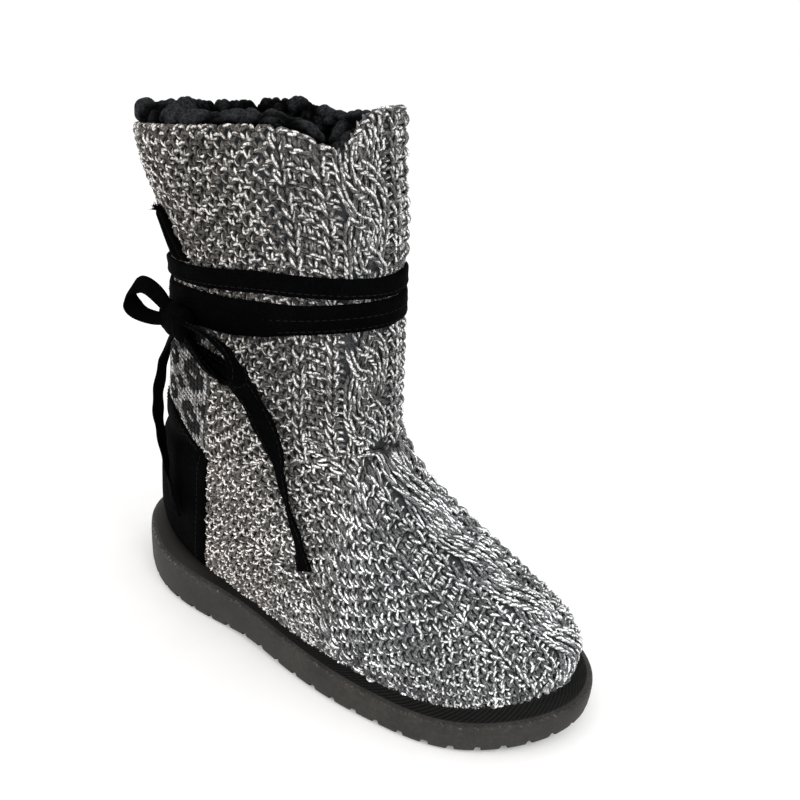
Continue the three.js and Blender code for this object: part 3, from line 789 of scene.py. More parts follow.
def ribbon_strip(points, across, width, thick=1.4, cup=0.5):
    """A flat ribbon with soft edges along a route."""
    across, face = ribbon_frame(points, across)
    k = np.linspace(-1, 1, 11)
    half = thick / 2 * np.sqrt(1 - np.abs(k) ** 6 * 0.9)
    lift = cup * (k**2 - 0.35)
    wave = 0.35 * np.sin(np.arange(len(points)) * 0.7)[:, None] * k[None]
    rings = []
    for sign, order in ((1, slice(None)), (-1, slice(None, None, -1))):
        flat = across[:, None] * (k * 0.5)[None, :, None] * width[:, None, None]
        raised = face[:, None] * (lift + sign * half + wave)[..., None]
        rings.append((points[:, None] + flat + raised)[:, order])
    ring = np.concatenate(rings, axis=1)
    rows, columns = ring.shape[:2]
    flat_points = ring.reshape(-1, 3)
    faces = grid_faces(rows, columns, close_columns=True)
    half_count = columns // 2
    ends = []
    for start in (0, (rows - 1) * columns):
        for i in range(half_count - 1):
            low = columns - 1 - i
            ends.append([start + i, start + i + 1, start + low - 1, start + low])
    ends = np.array(ends)
    ends[: half_count - 1] = ends[: half_count - 1, ::-1]
    return flat_points, turned_out(flat_points, np.concatenate([faces, ends]))


# Each row of a fold is its place along the knot, depth, width and turn.
KNOT_FOLDS = (
    (-0.45, 0.16, 0.07, 0.4), (-0.1, 0.12, 0.06, 2.2), (0.28, 0.17, 0.08, 4.4), (0.62, 0.1, 0.06, 1.1)
)
KNOT_HALF_LENGTH = 9.5
KNOT_HALF_HEIGHT = 8.5
KNOT_HALF_DEPTH = 5


def knot_pillow():
    """A band of ribbon pulled tight round the two ends, with its folds."""
    u = ring_angles(72)[None]
    v = np.linspace(-0.985, 0.985, 40)[:, None]
    round_v = np.sign(v) * np.abs(np.sin(v * math.pi / 2)) ** 0.8
    ring = np.sqrt(np.maximum(1 - np.abs(v) ** 3.2, 0.0)) + 0 * u
    folds = sum(
        depth * np.exp(-(((v - place - 0.10 * np.cos(u + turn)) / width) ** 2))
        for place, depth, width, turn in KNOT_FOLDS
    )
    ring = ring * (1 - folds)
    up = KNOT_HALF_HEIGHT * ring * np.cos(u)
    thick = KNOT_HALF_DEPTH * ring * np.sin(u)
    along = KNOT_HALF_LENGTH * round_v + 0 * u
    points = knot_centre + along[..., None] * knot_along + up[..., None] * knot_up
    points = points + thick[..., None] * knot_out
    rows, columns = along.shape
    ends = [points[row].mean(axis=0)[None] for row in (0, -1)]
    flat = np.concatenate([points.reshape(-1, 3), *ends])
    faces = [grid_faces(rows, columns, close_columns=True)]
    i = np.arange(0, columns, 2)
    for row, middle, flip in ((0, rows * columns, True), (rows - 1, rows * columns + 1, False)):
        a = row * columns + i
        b = row * columns + (i + 1) % columns
        c = row * columns + (i + 2) % columns
        fan = np.stack([np.full_like(a, middle), a, b, c], axis=-1)
        faces.append(fan[:, ::-1] if flip else fan)
    return flat, turned_out(flat, np.concatenate(faces))


print("folds in the knot", len(KNOT_FOLDS))

# %% Ribbon cords
knot = add_piece("ribbon_knot", *knot_pillow(), RIBBON, "ribbon", ["bow_knot"])
cords = {}
for side, loop, end in (("front", FRONT_LOOP, FRONT_END), ("back", BACK_LOOP, BACK_END)):
    route = blended(loop_route(loop), end_route(end))
    nodes = [f"bow_loop_{side}", f"tie_end_{side}"]
    piece = add_piece(f"ribbon_{side}", *ribbon_strip(*route), RIBBON, "ribbon", nodes)
    cords[side] = route

# %% [markdown]
# ## The knit's backing and the fleece inside
# Between its loops a thick knit shows shadow and the back of its own stitches. A dark shell just under
# the surface stands for that, and keeps the boot hollow. The lining inside it is a sheet of fleece.

# %% Backing and lining
def wall_grid(lowest, highest, rows, columns, out):
    angle = ring_angles(columns)[None]
    share = np.linspace(0, 1, rows)[:, None]
    low = lowest(angle)
    level = low + share * (highest(angle) - low)
    points, _ = skin(level, angle + 0 * level, out)
    return points


def shell(lowest, highest, rows, columns, outer, inner):
    outside, inside = (wall_grid(lowest, highest, rows, columns, out) for out in (outer, inner))
    points = np.concatenate([outside, inside[::-1]]).reshape(-1, 3)
    return points, turned_out(points, grid_faces(2 * rows, columns, close_rows=True, close_columns=True))


def flat_level(value):
    return lambda angle: np.full_like(angle, value)


BACKING_OUT = -1.3
foot_shell = shell(flat_level(0.0), lambda angle: seam_level(angle) - 0.15, 34, 160, BACKING_OUT, -WALL)
add_piece("upper_backing", *foot_shell, BACKING_SHADE, "knit", ["upper"])
leg_shell = shell(lambda angle: seam_level(angle) + 0.3, collar_level, 40, 160, BACKING_OUT, -WALL)
add_piece("shaft_backing", *leg_shell, BACKING_SHADE, "knit", ["shaft"])


def lumps(place_a, place_b, period, pitch, size, seed):
    """Rounded lumps of curl over two lengths in millimetres, the first of which closes on itself."""
    dice = np.random.default_rng(seed)
    count = max(3, round(period / pitch))
    low = place_b.min() - pitch
    rows = np.arange(low, place_b.max() + pitch, pitch * 0.87)
    a = (np.arange(count)[None] + 0.5 * (np.arange(len(rows)) % 2)[:, None]) * period / count
    centres = np.stack([a + 0 * rows[:, None], rows[:, None] + 0 * a], axis=-1).reshape(-1, 2)
    centres = centres + dice.uniform(-0.3, 0.3, centres.shape) * pitch
    radius = size * dice.uniform(0.75, 1.2, len(centres))
    height = np.zeros(place_a.shape)
    for (x, y), r in zip(centres, radius):
        gap = (place_a - x + period / 2) % period - period / 2
        dome = np.sqrt(np.maximum(1 - (gap**2 + (place_b - y) ** 2) / r**2, 0)) * r / size
        height = np.maximum(height, dome)
    return height


LINING_ROUND = 310
LINING_LOW = 5
LINING_RISE = 0.91


def lining():
    columns = 220
    rows = 100
    angle = ring_angles(columns)[None]
    share = np.linspace(0, 1, rows)[:, None]
    level = LINING_LOW + share * (collar_level(angle) - 6 - LINING_LOW)
    around = angle / RING * LINING_ROUND + 0 * level
    curl = lumps(around, level * LINING_RISE, LINING_ROUND, 7.5, 5.0, 3)
    out = -(WALL + 0.4) - 2.0 * curl
    points, _ = skin(level, angle + 0 * level, out)
    faces = grid_faces(rows, columns, close_columns=True)
    return points.reshape(-1, 3), faces, curl.ravel()


lining_points, lining_faces, curl = lining()
add_piece("fleece_lining", lining_points, lining_faces, FLEECE, "fleece", marks={"curl": curl})

# %% [markdown]
# ## The fleece collar
# The lining's edge stands up out of the collar in fat curls, more over the back than at the front. The
# roll follows the CAD roll's section, and two sizes of rounded lump swell it, as locks of curl do.

# %% Fleece collar
# Each row is a place out from the collar and up from it, and how much the curls swell it.
FLEECE_ROLL = np.array([
    [-4, -9, 0], [-3.6, 0.8, 0], [-1, 2.2, 0.25], [0, 5, 0.7], [-3, 8.6, 1], [-8.5, 9, 1],
    [-12.5, 5.5, 0.8], [-12, -2, 0.6], [-8, -9, 0],
])
ROLL_ROUND = 330
ROLL_RISE = 0.904


def fleece_collar():
    columns = 460
    angle = ring_angles(columns)[None]
    section, _ = catmull(np.concatenate([FLEECE_ROLL, FLEECE_ROLL[:1]]), 61)
    section = section[:-1]
    run = run_along(section[:, :2])
    out, up, swell = (section[:, k, None] for k in range(3))
    level = collar_level(angle) + np.minimum(up, 0) / ROLL_RISE
    edge = last_point(level, angle + 0 * level)
    outward = last_normal(level, angle + 0 * level)
    outward[..., 2] = 0
    outward = unit(outward)
    front = np.exp(-(((np.degrees(angle) - 148) / 62) ** 6))
    near = np.exp(-(((np.degrees(angle) - 245) / 40) ** 4))
    rise = (1 - 0.85 * front) * (1 - 0.55 * near)
    points = edge + outward * (out - 2.8 - 2 * front)[..., None]
    points[..., 2] += np.maximum(up, 0) * rise * 0.85 - 5 * front
    normal = unit(np.cross(np.gradient(points, axis=1), np.gradient(points, axis=0)))
    around = angle / RING * ROLL_ROUND + 0 * level
    across = run[:, None] + 0 * level
    big = lumps(around, across, ROLL_ROUND, 11.5, 7.0, 5)
    small = lumps(around, across, ROLL_ROUND, 4.2, 2.9, 6)
    lift = np.clip(swell, 0, 1) * (7.5 * (big - 0.6) + 2.4 * (small - 0.5)) * (0.5 + 0.5 * rise)
    middle = points.mean(axis=0, keepdims=True)
    facing = np.sign(((points - middle) * normal).sum(axis=-1).mean())
    points = points + normal * facing * lift[..., None]
    flat = points.reshape(-1, 3)
    faces = turned_out(flat, grid_faces(len(section), columns, close_rows=True, close_columns=True))
    return flat, faces, (0.75 * big + 0.25 * small).ravel()


roll_points, roll_faces, curl = fleece_collar()
add_piece("fleece_roll", roll_points, roll_faces, FLEECE, "fleece", ["fleece_collar"], {"curl": curl})

# %% [markdown]
# ## The knit stitches
# Each stitch is yarn with a thickness. A plain stitch shows as a V of two legs, and a purled one as two
# small arcs lying across. The boot's pattern runs in columns: a rope cable, a purled groove, a rib of
# Vs, a ladder of ridged rows, another rib, then seed stitch, where plain and purled stitches alternate.
# The yarn is made as short tubes in columns and rows and height, and then laid on the boot.

# %% Stitch shapes and the pattern
STITCH = 3.45
ROW = 3.1
YARN = 0.84
YARN_TAPER = np.array([0.55, 0.95, 1.05, 0.95, 0.55])
PALE_FADE = np.array([-0.4, 0.8, 1, 0.8, -0.4])
CABLE_ROWS = 10
CABLE_EDGE = 3
GROOVE_EDGE = 4
RIB_EDGE = 5
LADDER_EDGE = 8
SECOND_RIB_EDGE = 9
SIDE_RIB = 25.5
COLLAR_FOLD = 3.2
SEAM_FILL = 1.1
PRESS_REACH = 4
share = np.linspace(0, 1, 5)
bow = np.sin(math.pi * (0.12 + 0.76 * share))


def leg(side, narrow, wide, lift, low=-0.1, high=1.05):
    column = side * (narrow + (wide - narrow) * np.sin(share * math.pi / 2))
    return np.stack([column, low + (high - low) * share, lift * bow - 0.45], axis=-1)


def arc(start, end, row, rise, lift):
    column = start + (end - start) * share
    return np.stack([column, row + rise * np.sin(math.pi * share), lift * bow - 0.5], axis=-1)


SHAPES = {
    "plain": [leg(-1, 0.1, 0.42, 1.1), leg(1, 0.1, 0.42, 1.1)],
    "rib": [leg(-1, 0.1, 0.66, 2.4, 0, 1.75), leg(1, 0.1, 0.66, 2.4, 0, 1.75)],
    "cable": [leg(-1, 0.14, 0.38, 1.3, -0.25, 1.3), leg(1, 0.14, 0.38, 1.3, -0.25, 1.3)],
    "low": [leg(-1, 0.14, 0.36, 0.7), leg(1, 0.14, 0.36, 0.7)],
    "bar": [arc(-0.54, 0.54, 0.55, 0.2, 1.5), arc(0.04, 0.96, 0.3, -0.15, 0.9)],
    "purl": [arc(-0.53, 0.53, 0.5, 0.24, 1.25), arc(0.05, 0.95, 0.3, -0.24, 0.8)],
}


def kinds(column, row):
    """What stitch is at a column, counted from the cable's middle, and a row."""
    place = np.abs(column)
    even = row % 2 == 0
    rib = np.where(even, "rib", "low")
    seed = np.where((np.floor(column) + row) % 2 == 0, "plain", "purl")
    found = np.where((place < SECOND_RIB_EDGE) | (np.abs(place - SIDE_RIB) < 0.6), rib, seed)
    found = np.where(place < LADDER_EDGE, np.where(even, "bar", "low"), found)
    found = np.where(place < RIB_EDGE, rib, found)
    found = np.where(place < GROOVE_EDGE, "purl", found)
    return np.where(place < CABLE_EDGE, "cable", found)


def stitch_grid(columns, rows):
    """Every pairing of columns with rows, as two flat lists."""
    return [grid.ravel() for grid in np.meshgrid(columns, rows)]


def cabled(paths, columns, rows):
    """Carries the cable's two strands over and under each other."""
    start = np.floor(rows / CABLE_ROWS) * CABLE_ROWS
    turn = np.clip((paths[..., 1] - start[:, None]) / CABLE_ROWS, 0, 1)
    move = turn * turn * (3 - 2 * turn)
    over = (columns < 0)[:, None]
    hump = np.sin(math.pi * turn)
    beside = columns[:, None] + np.where(over, 1.5, -1.5)
    paths[..., 0] += np.where(over, 3 * move, -3 * move) + 0.65 * hump * beside
    paths[..., 2] += np.where(over, 0.3 + 1.1 * hump, 0.2 - 0.9 * hump)
    return paths


print("stitch shapes", list(SHAPES))

# %% [markdown]
# ## Yarn from the pattern
# Each stitch becomes short tubes, a little askew, as hand-made stitches are. Every tube carries a mark that
# turns round it, which the wool reads as twisted strands. Ribbon presses the yarn flat where it ties it.

# %% Yarn from the pattern
def stitch_paths(columns, rows, dice):
    """Yarn paths for stitches by column and row, with the stitch that each belongs to."""
    kind = kinds(columns, rows)
    all_paths = []
    owners = []
    for name in SHAPES:
        chosen = np.flatnonzero(kind == name)
        for shape in SHAPES[name]:
            paths = np.repeat(shape[None], len(chosen), axis=0)
            slant = dice.normal(0, 0.1, (len(chosen), 1)) * (share - 0.5)
            paths[..., 0] += columns[chosen, None] + dice.normal(0, 0.05, (len(chosen), 1)) + slant
            paths[..., 1] += rows[chosen, None] + dice.normal(0, 0.07, (len(chosen), 1)) - slant
            paths[..., 2] += dice.normal(0, 0.12, (len(chosen), 1))
            if name == "cable":
                paths = cabled(paths, columns[chosen], rows[chosen])
            all_paths.append(paths)
            owners.append(chosen)
    return np.concatenate(all_paths), np.concatenate(owners)


def yarn_marks(points, dice, proud, turns=0.7):
    """The mark that turns round each tube, and how much pale strand shows, less where proud is low, as
    painted shade.
    """
    count, steps, sides = points.shape[:3]
    turn = RING * np.arange(sides) / sides
    along = np.linspace(-0.5, 0.5, steps) * turns * math.pi
    begin = dice.normal(0, 0.9, count)
    angle = begin[:, None, None] + along[None, :, None] + turn[None, None]
    shown = (dice.uniform(0, 1, count) + proud)[:, None] * PALE_FADE
    shown = np.broadcast_to(shown[..., None], angle.shape)
    return np.stack([np.cos(angle), np.sin(angle), shown], axis=-1).reshape(-1, 3)


def pressed(level, angle, out):
    """The yarn's height, flattened where the ribbon ties it down."""
    degrees = np.degrees(angle) % 360
    gaps = []
    for turn in (upper_wrap, lower_wrap):
        gaps.append(np.maximum(turn(degrees, -1) - level, level - turn(degrees, 1)))
    share = np.clip((PRESS_REACH - np.minimum(*gaps)) / 3.5, 0, 1)
    return out - np.maximum(out + 0.5, 0) * share


def knit_piece(name, level, angle, out, dice):
    """Tubes of yarn on the boot; they fill part of the ankle seam and fold in over the collar's edge."""
    filled = SEAM_FILL * near_seam(level, angle)
    past = np.clip((level - collar_level(angle)) * LEVEL_HEIGHT, 0, COLLAR_FOLD)
    level = np.minimum(level, collar_level(angle)) + 0.9 * np.sin(np.minimum(past, 1.4)) / LEVEL_HEIGHT
    paths, normals = skin(level, angle, pressed(level, angle, out) + filled - 0.9 * past)
    thick = YARN * dice.uniform(0.9, 1.1, (len(paths), 1)) * YARN_TAPER
    points, faces = tubes(paths, normals, thick, 4)
    # painted shade: yarn that lies low shows less of its pale strand, yarn that stands proud shows more
    marks = yarn_marks(points, dice, 0.3 * (out.mean(axis=1) - 0.5))
    add_piece(name, points, faces, WOOL, "knit", marks={"twist": marks})


print("yarn", 2 * YARN, "mm thick, in columns", STITCH, "mm apart")

# %% [markdown]
# ## The shaft's knit
# The shaft's columns run straight up it. They are counted from the cable, which stands just to the
# outer side of the front, and spaced evenly round the ankle, so the flare above spreads them. A texture
# would stretch there; stitches that are placed one by one keep their shape. None are made where the
# counter, the panel or the ribbon covers them.

# %% Shaft stitches
dice = np.random.default_rng(21)
CABLE_ANGLE = 197
COUNT_LEVEL = 150.0
SHAFT_RISE = 0.905
PANEL_HIDDEN = 162
ring_angle = np.linspace(0, RING, 2001) + math.radians(CABLE_ANGLE) - math.pi
ring_line = last_point(COUNT_LEVEL, ring_angle)
ring_run = run_along(ring_line)
shaft_columns = 2 * round(ring_run[-1] / STITCH / 2)
shaft_rows = 52
middle_run = np.interp(math.radians(CABLE_ANGLE), ring_angle, ring_run)
back_edge = smooth([0, 18, 49, 77, 116, 160], [60, 62, 68, 77, 84, 87.5])


def shaft_place(paths):
    """Level and angle of yarn on the shaft; rows are counted down from the collar."""
    run = middle_run + paths[..., 0] * ring_run[-1] / shaft_columns
    angle = np.interp(run % ring_run[-1], ring_run, ring_angle)
    depth = (shaft_rows - paths[..., 1]) * ROW / SHAFT_RISE
    return collar_level(angle) - 0.6 - depth, angle


columns, rows = stitch_grid(np.arange(shaft_columns) - shaft_columns / 2 + 0.5, np.arange(shaft_rows + 1))
level, angle = shaft_place(np.stack([columns, rows + 0.5], axis=-1))
covered = (from_back(angle) < back_edge(level) - 1.6) & (level < PANEL_HIDDEN)
hidden = np.zeros(level.shape, bool)
degrees = np.degrees(angle) % 360
for turn in (upper_wrap, lower_wrap):
    hidden |= (level > turn(degrees, -0.4)) & (level < turn(degrees, 0.4))
kept = (level > seam_level(angle) - 1.0) & ~covered & ~hidden
paths, owners = stitch_paths(columns[kept], rows[kept], dice)
level, angle = shaft_place(paths)
level = np.maximum(level, seam_level(angle) - 1.0)
outer_side = np.sin(angle[:, 2]) < 0
for name, side in (("shaft_knit_outer", outer_side), ("shaft_knit_inner", ~outer_side)):
    knit_piece(name, level[side], angle[side], paths[side, :, 2], dice)
print("shaft", shaft_columns, "columns,", int(kept.sum()), "stitches")

# %% [markdown]
# ## The foot's knit
# On the foot the columns run from the ankle to the toe, with the cable along the top, and lie beside
# each other down both sides. So a stitch is placed by how far along the foot it is and how far down
# from the middle of the top. Towards the toe the rows lean forward like a fan, to go over its front.

# %% Places on the foot
FAN_START = 212
FAN_DEPTH = 60
FAN_REACH = 140
FOOT_END = 280.0
FOOT_STEP = 2.0
DOWN_STEP = 1.5
WIDEST_STITCH = math.radians(7)


def forward(x, z):
    """How far along the foot a point is, in millimetres."""
    ahead = np.maximum(x - FAN_START, 0)
    return np.minimum(x, FAN_START) + FAN_REACH * np.arctan2(ahead, z + FAN_DEPTH)


def halved(test, low, high, tries=40):
    """Where a test that is true at low and false at high changes."""
    low = np.array(low, float)
    high = np.array(high, float)
    for _ in range(tries):
        half = (low + high) / 2
        yes = test(half)
        low = np.where(yes, half, low)
        high = np.where(yes, high, half)
    return (low + high) / 2


FOOT_STEPS = np.arange(12.0, FOOT_END + 4, FOOT_STEP)
no_level = 0 * FOOT_STEPS
foot_top = halved(lambda v: forward(*section_place(v, 1.0)) > FOOT_STEPS, no_level, no_level + 110)


def angle_at(level, ahead, side):
    """The angle on one side at a level and a way along the foot."""
    share = halved(lambda v: forward(*section_place(level, v)) < ahead, 0 * level, 0 * level + 1)
    turn = np.arccos(1 - 2 * share)
    return RING - turn if side > 0 else turn


DOWN_STEPS = np.arange(0.0, 150.0, DOWN_STEP)
foot_tables = {}
for side in (1, -1):
    highest = foot_top.copy()
    for _ in range(25):
        seam = seam_level(angle_at(highest, FOOT_STEPS, side))
        highest = np.minimum(highest, 0.5 * highest + 0.5 * seam)
    level = highest[:, None] * (1 - np.linspace(0, 1, 70)[None] ** 2)
    angle = angle_at(level, FOOT_STEPS[:, None] + 0 * level, side)
    points = last_point(level, angle)
    gaps = np.linalg.norm(np.diff(points, axis=1), axis=-1)
    run = np.concatenate([np.zeros((len(points), 1)), np.cumsum(gaps, axis=1)], axis=1)
    ridge = last_point(98.0, math.pi)[1]
    first = np.where(highest < foot_top - 0.5, np.abs(points[:, 0, 1] - ridge), 0)
    run = run + first[:, None]
    table_level = np.array([np.interp(DOWN_STEPS, r, v) for r, v in zip(run, level)])
    table_angle = np.array([np.interp(DOWN_STEPS, r, v) for r, v in zip(run, angle)])
    foot_tables[side] = {"level": table_level, "angle": table_angle, "first": first, "last": run[:, -1]}


def looked_up(table, ahead, down):
    """A value between the table's places."""
    a = np.clip((ahead - FOOT_STEPS[0]) / FOOT_STEP, 0, len(FOOT_STEPS) - 1.001)
    d = np.clip(down / DOWN_STEP, 0, len(DOWN_STEPS) - 1.001)
    i = a.astype(int)
    j = d.astype(int)
    u = a - i
    v = d - j
    low = table[i, j] * (1 - v) + table[i, j + 1] * v
    high = table[i + 1, j] * (1 - v) + table[i + 1, j + 1] * v
    return low * (1 - u) + high * u


def foot_place(paths):
    """Level and angle of yarn on the foot; rows are counted back from the toe."""
    ahead = FOOT_END - paths[..., 1] * ROW
    down = np.abs(paths[..., 0]) * STITCH
    outer = paths[..., 0] > 0
    found = []
    for key in ("level", "angle"):
        both = [looked_up(foot_tables[side][key], ahead, down) for side in (1, -1)]
        found.append(np.where(outer, both[0], both[1]))
    return found


print("places on each side of the foot", foot_tables[1]["level"].shape)

# %% Foot stitches
columns, rows = stitch_grid(np.arange(-40, 40) + 0.5, np.arange(-1, 86))
ahead = FOOT_END - (rows + 0.5) * ROW
down = np.abs(columns) * STITCH
edges = []
for key in ("first", "last"):
    outer_edge, inner_edge = (np.interp(ahead, FOOT_STEPS, foot_tables[side][key]) for side in (1, -1))
    edges.append(np.where(columns > 0, outer_edge, inner_edge))
level, angle = foot_place(np.stack([columns, rows + 0.5], axis=-1))
kept = (down > edges[0] - 2.5) & (down < edges[1] + 1.0)
kept &= from_back(angle) > back_edge(level) - 1.2
paths, owners = stitch_paths(columns[kept], rows[kept], dice)
level, angle = foot_place(paths)
level = np.clip(level, -0.5, seam_level(angle) + 1.0)
under_counter = from_back(angle) < back_edge(level) - 0.4
paths[..., 2] = np.where(under_counter, np.minimum(paths[..., 2], 0.1), paths[..., 2])
whole = np.ptp(angle, axis=1) < WIDEST_STITCH
outer_side = columns[kept][owners] > 0.6
for name, side in (("foot_knit_outer", whole & outer_side), ("foot_knit_inner", whole & ~outer_side)):
    knit_piece(name, level[side], angle[side], paths[side, :, 2], dice)
print("foot", int(kept.sum()), "stitches")

# %% [markdown]
# ## The sole
# The sole is one moulding: a tread cut with slots round its edge, a smooth side wall, a ledge, and a
# sloping rim that cups the upper, with fine slanting ribs in it except at the heel. All of it is rings
# of the outline, set in and raised, with slots and ribs moulded in by moving the points, because cutting
# them out of a solid would leave sharp edges that no mould gives.

# %% Outsole
SOLE_OUTER = (60, 47.5, 56, 66.5)
SOLE_INNER = (60, 42.5, 52, 71.5)
SOLE_COLUMNS = 1280
SLOT_COUNT = 52
SLOT_WIDTH = 3.2
SLOT_HEIGHT = 3.2
RIB_PITCH = 3.1
RIB_SLANT = 5.0
RIB_DEPTH = 1.3


def sole_outline(angle):
    share = (1 - np.cos(angle)) / 2
    side = np.sin(angle)
    widths = [np.where(side < 0, a, b) for a, b in zip(SOLE_OUTER, SOLE_INNER)]
    x = LENGTH * share
    return np.stack([x, side * half_width(share, *widths) + swing(x)], axis=-1)


even = np.linspace(0, RING, 6001)
outline_run = run_along(sole_outline(even))
sole_run = np.linspace(0, outline_run[-1], SOLE_COLUMNS, endpoint=False)
sole_angle = np.interp(sole_run, outline_run, even)
sole_way = unit(sole_outline(sole_angle + 0.01) - sole_outline(sole_angle - 0.01))
inward = np.stack([sole_way[:, 1], -sole_way[:, 0]], axis=-1)
slot_pitch = outline_run[-1] / SLOT_COUNT
in_slot = np.abs(sole_run % slot_pitch - slot_pitch / 2) < SLOT_WIDTH / 2
# Each row is how far a ring is set in, its share of the side's height, how far it is raised, and its wear:
# above 0 it is rubbed paler, below 0 it is darker.
SOLE_RINGS = [
    (9.6, 0, 0, 0), (8, 0, 0, 0), (2.2, 0, 0, 0), (1, 0, 0.8, 0), (0.4, 0, 2.2, 0.04), (0.15, 0, 4, 0.04),
    (0, 0.5, 0, 0.03), (0.1, 0.8, 0, 0.04), (0.4, 1, -1.2, 0.2), (0.8, 1, -0.35, 1), (1.6, 1, 0, 0.8),
    (2.4, 1, 0.1, 0.2), (3, 1, 0.2, -0.3),
]


def sole_rings():
    rings = []
    wear_and_shade = []
    for number, (inset, side, up, rubbed_and_darkened) in enumerate(SOLE_RINGS):
        flat = sole_outline(sole_angle) + inward * inset
        base = tread(flat[:, 0])
        z = base + side * (side_top(flat[:, 0]) - base) + up
        if 1 <= number <= 4:
            z = np.where(in_slot, np.maximum(z, base + SLOT_HEIGHT), z)
        rings.append(np.concatenate([flat, z[:, None]], axis=1))
        heel = 0.35 + 0.65 * np.clip((110 - flat[:, 0]) / 60, 0, 1)
        wear_and_shade.append(rubbed_and_darkened * heel)
    edge, _ = skin(0.0, sole_angle, 0.8)
    edge[:, 2] = feather(edge[:, 0]) - 0.3
    start = rings[-1]
    slope = edge - start
    facing = unit(np.cross(np.concatenate([sole_way, 0 * sole_way[:, :1]], axis=1), slope))
    facing = facing * np.sign(facing[:, 2:])
    ribbed = np.clip((start[:, 0] - 58) / 25, 0, 1)
    for step in np.linspace(0, 1, 15)[1:]:
        wave = 0.5 + 0.5 * np.cos(RING * (sole_run / RIB_PITCH + step * RIB_SLANT))
        inside = np.clip(np.minimum(step, 1 - step) / 0.12, 0, 1)
        relief = 0.7 * np.sin(math.pi * step) + RIB_DEPTH * ribbed * inside * (wave - 0.5)
        rings.append(start + slope * step + facing * (relief * inside)[:, None])
        # the rim is darker all over, and painted shade makes it darkest in the grooves between its ribs
        wear_and_shade.append(-0.62 - 0.38 * ribbed * inside * (1 - wave))
    return np.stack(rings), np.stack(wear_and_shade)


def cap(row):
    """Strips from side to side that close a ring."""
    start = row * SOLE_COLUMNS
    i = np.arange(SOLE_COLUMNS // 2)
    other = (SOLE_COLUMNS - i) % SOLE_COLUMNS
    quads = np.stack([start + i, start + i + 1, start + SOLE_COLUMNS - i - 1, start + other], axis=-1)
    return quads[1:-1]


rings, wear_and_shade = sole_rings()
sole_points = rings.reshape(-1, 3)
sides = grid_faces(len(rings), SOLE_COLUMNS, close_columns=True)
sole_faces = np.concatenate([turned_out(sole_points, sides), cap(0), cap(len(rings) - 1)[:, ::-1]])
wear_and_shade = {"wear_and_shade": wear_and_shade.ravel()}
add_piece("outsole_rubber", sole_points, sole_faces, RUBBER, "sole_rubber", ["outsole"], wear_and_shade)

# %% [markdown]
# ## The footbed
# Inside, a soft pad covered in the same fleece lies on the sole. It is crowned a little and sits within
# the walls. Rings drawn in from its edge to its middle line fit it to the last, lumps of curl included.

# %% Footbed
PAD_DEPTH = 3.2
PAD_CROWN = 0.9


def footbed():
    columns = 160
    edge, _ = skin(3.0, ring_angles(columns), -(WALL + 1.4))
    edge[:, 2] = feather(edge[:, 0])
    middle_line = edge.copy()
    middle_line[:, 1] = swing(edge[:, 0]) - 0.2
    rows = [edge]
    for share in np.linspace(0, 1, 26):
        ring = edge * (1 - share) + middle_line * share
        curl = lumps(ring[:, 0], ring[:, 1], 400, 8.0, 5.4, 9)
        inside = min(1, share * 6)
        ring[:, 2] = feather(ring[:, 0]) + PAD_DEPTH + PAD_CROWN * inside + PAD_CROWN * (curl - 0.5) * inside
        rows.append(ring)
    points = np.stack(rows).reshape(-1, 3)
    return points, turned_out(points, grid_faces(len(rows), columns, close_columns=True))


pad = add_piece("footbed_pad", *footbed(), FLEECE, "footbed", ["insole"])

# %% [markdown]
# ## The suede heel counter
# A patch of suede wraps the heel, with soft cut edges and a row of stitches inside them. It bulges and
# dents a little where the heel has worn it. A sheet could be shrunk onto the boot, but a patch of the
# boot's own surface, with a front, a back and an edge, fits at once.

# %% Heel counter
counter_top = smooth([0, 0.62, 0.82, 1], [102, 99, 92, 78])


def counter_place(u, v):
    level = 1 + v * (counter_top(np.abs(u)) - 1)
    return level, np.radians(u * back_edge(level))


def patch(place, across, up, inside, outside, edge_share, dents=None):
    """A patch with a front, a back and soft edges; u runs from -1 to 1 and v from 0 to 1."""
    u = np.linspace(-1, 1, across)[None] + np.zeros((up, 1))
    v = np.linspace(0, 1, up)[:, None] + np.zeros((1, across))
    level, angle = place(u, v)
    rim = np.minimum(np.minimum(1 - np.abs(u), 2 * v * 0.6), 2 * (1 - v) * 0.6)
    crown = np.sqrt(np.clip(rim / edge_share, 0, 1))
    outer = inside + (outside - inside) * (0.45 + 0.55 * crown)
    if dents is not None:
        outer = outer + dents(u, v)
    front, _ = skin(level, angle, outer)
    back, _ = skin(level, angle, inside)
    points = np.concatenate([front.reshape(-1, 3), back.reshape(-1, 3)])
    face = grid_faces(up, across)
    count = across * up
    edge = np.concatenate([
        np.arange(across - 1), np.arange(up - 1) * across + across - 1,
        up * across - 1 - np.arange(across - 1), (up - 1 - np.arange(up - 1)) * across,
    ])
    following = np.roll(edge, -1)
    walls = np.stack([edge, edge + count, following + count, following], axis=-1)
    faces = np.concatenate([face, face[:, ::-1] + count, walls])
    return points, turned_out(points, faces)


# Each row is a dent's place round and up the counter, its width and its height.
COUNTER_DENTS = (
    (-0.55, 0.55, 0.16, 0.5), (-0.25, 0.3, 0.22, -0.4), (-0.75, 0.25, 0.12, -0.5), (0.3, 0.5, 0.3, 0.5)
)
COUNTER_OUT = 2.5


def counter_dents(u, v):
    return sum(
        height * np.exp(-(((u - a) / width) ** 2) - ((v - b) / 0.2) ** 2)
        for a, b, width, height in COUNTER_DENTS
    )


counter = patch(counter_place, 121, 61, 0.9, COUNTER_OUT, 0.03, counter_dents)
add_piece("counter_suede", *counter, SUEDE, "suede", ["heel_counter"])


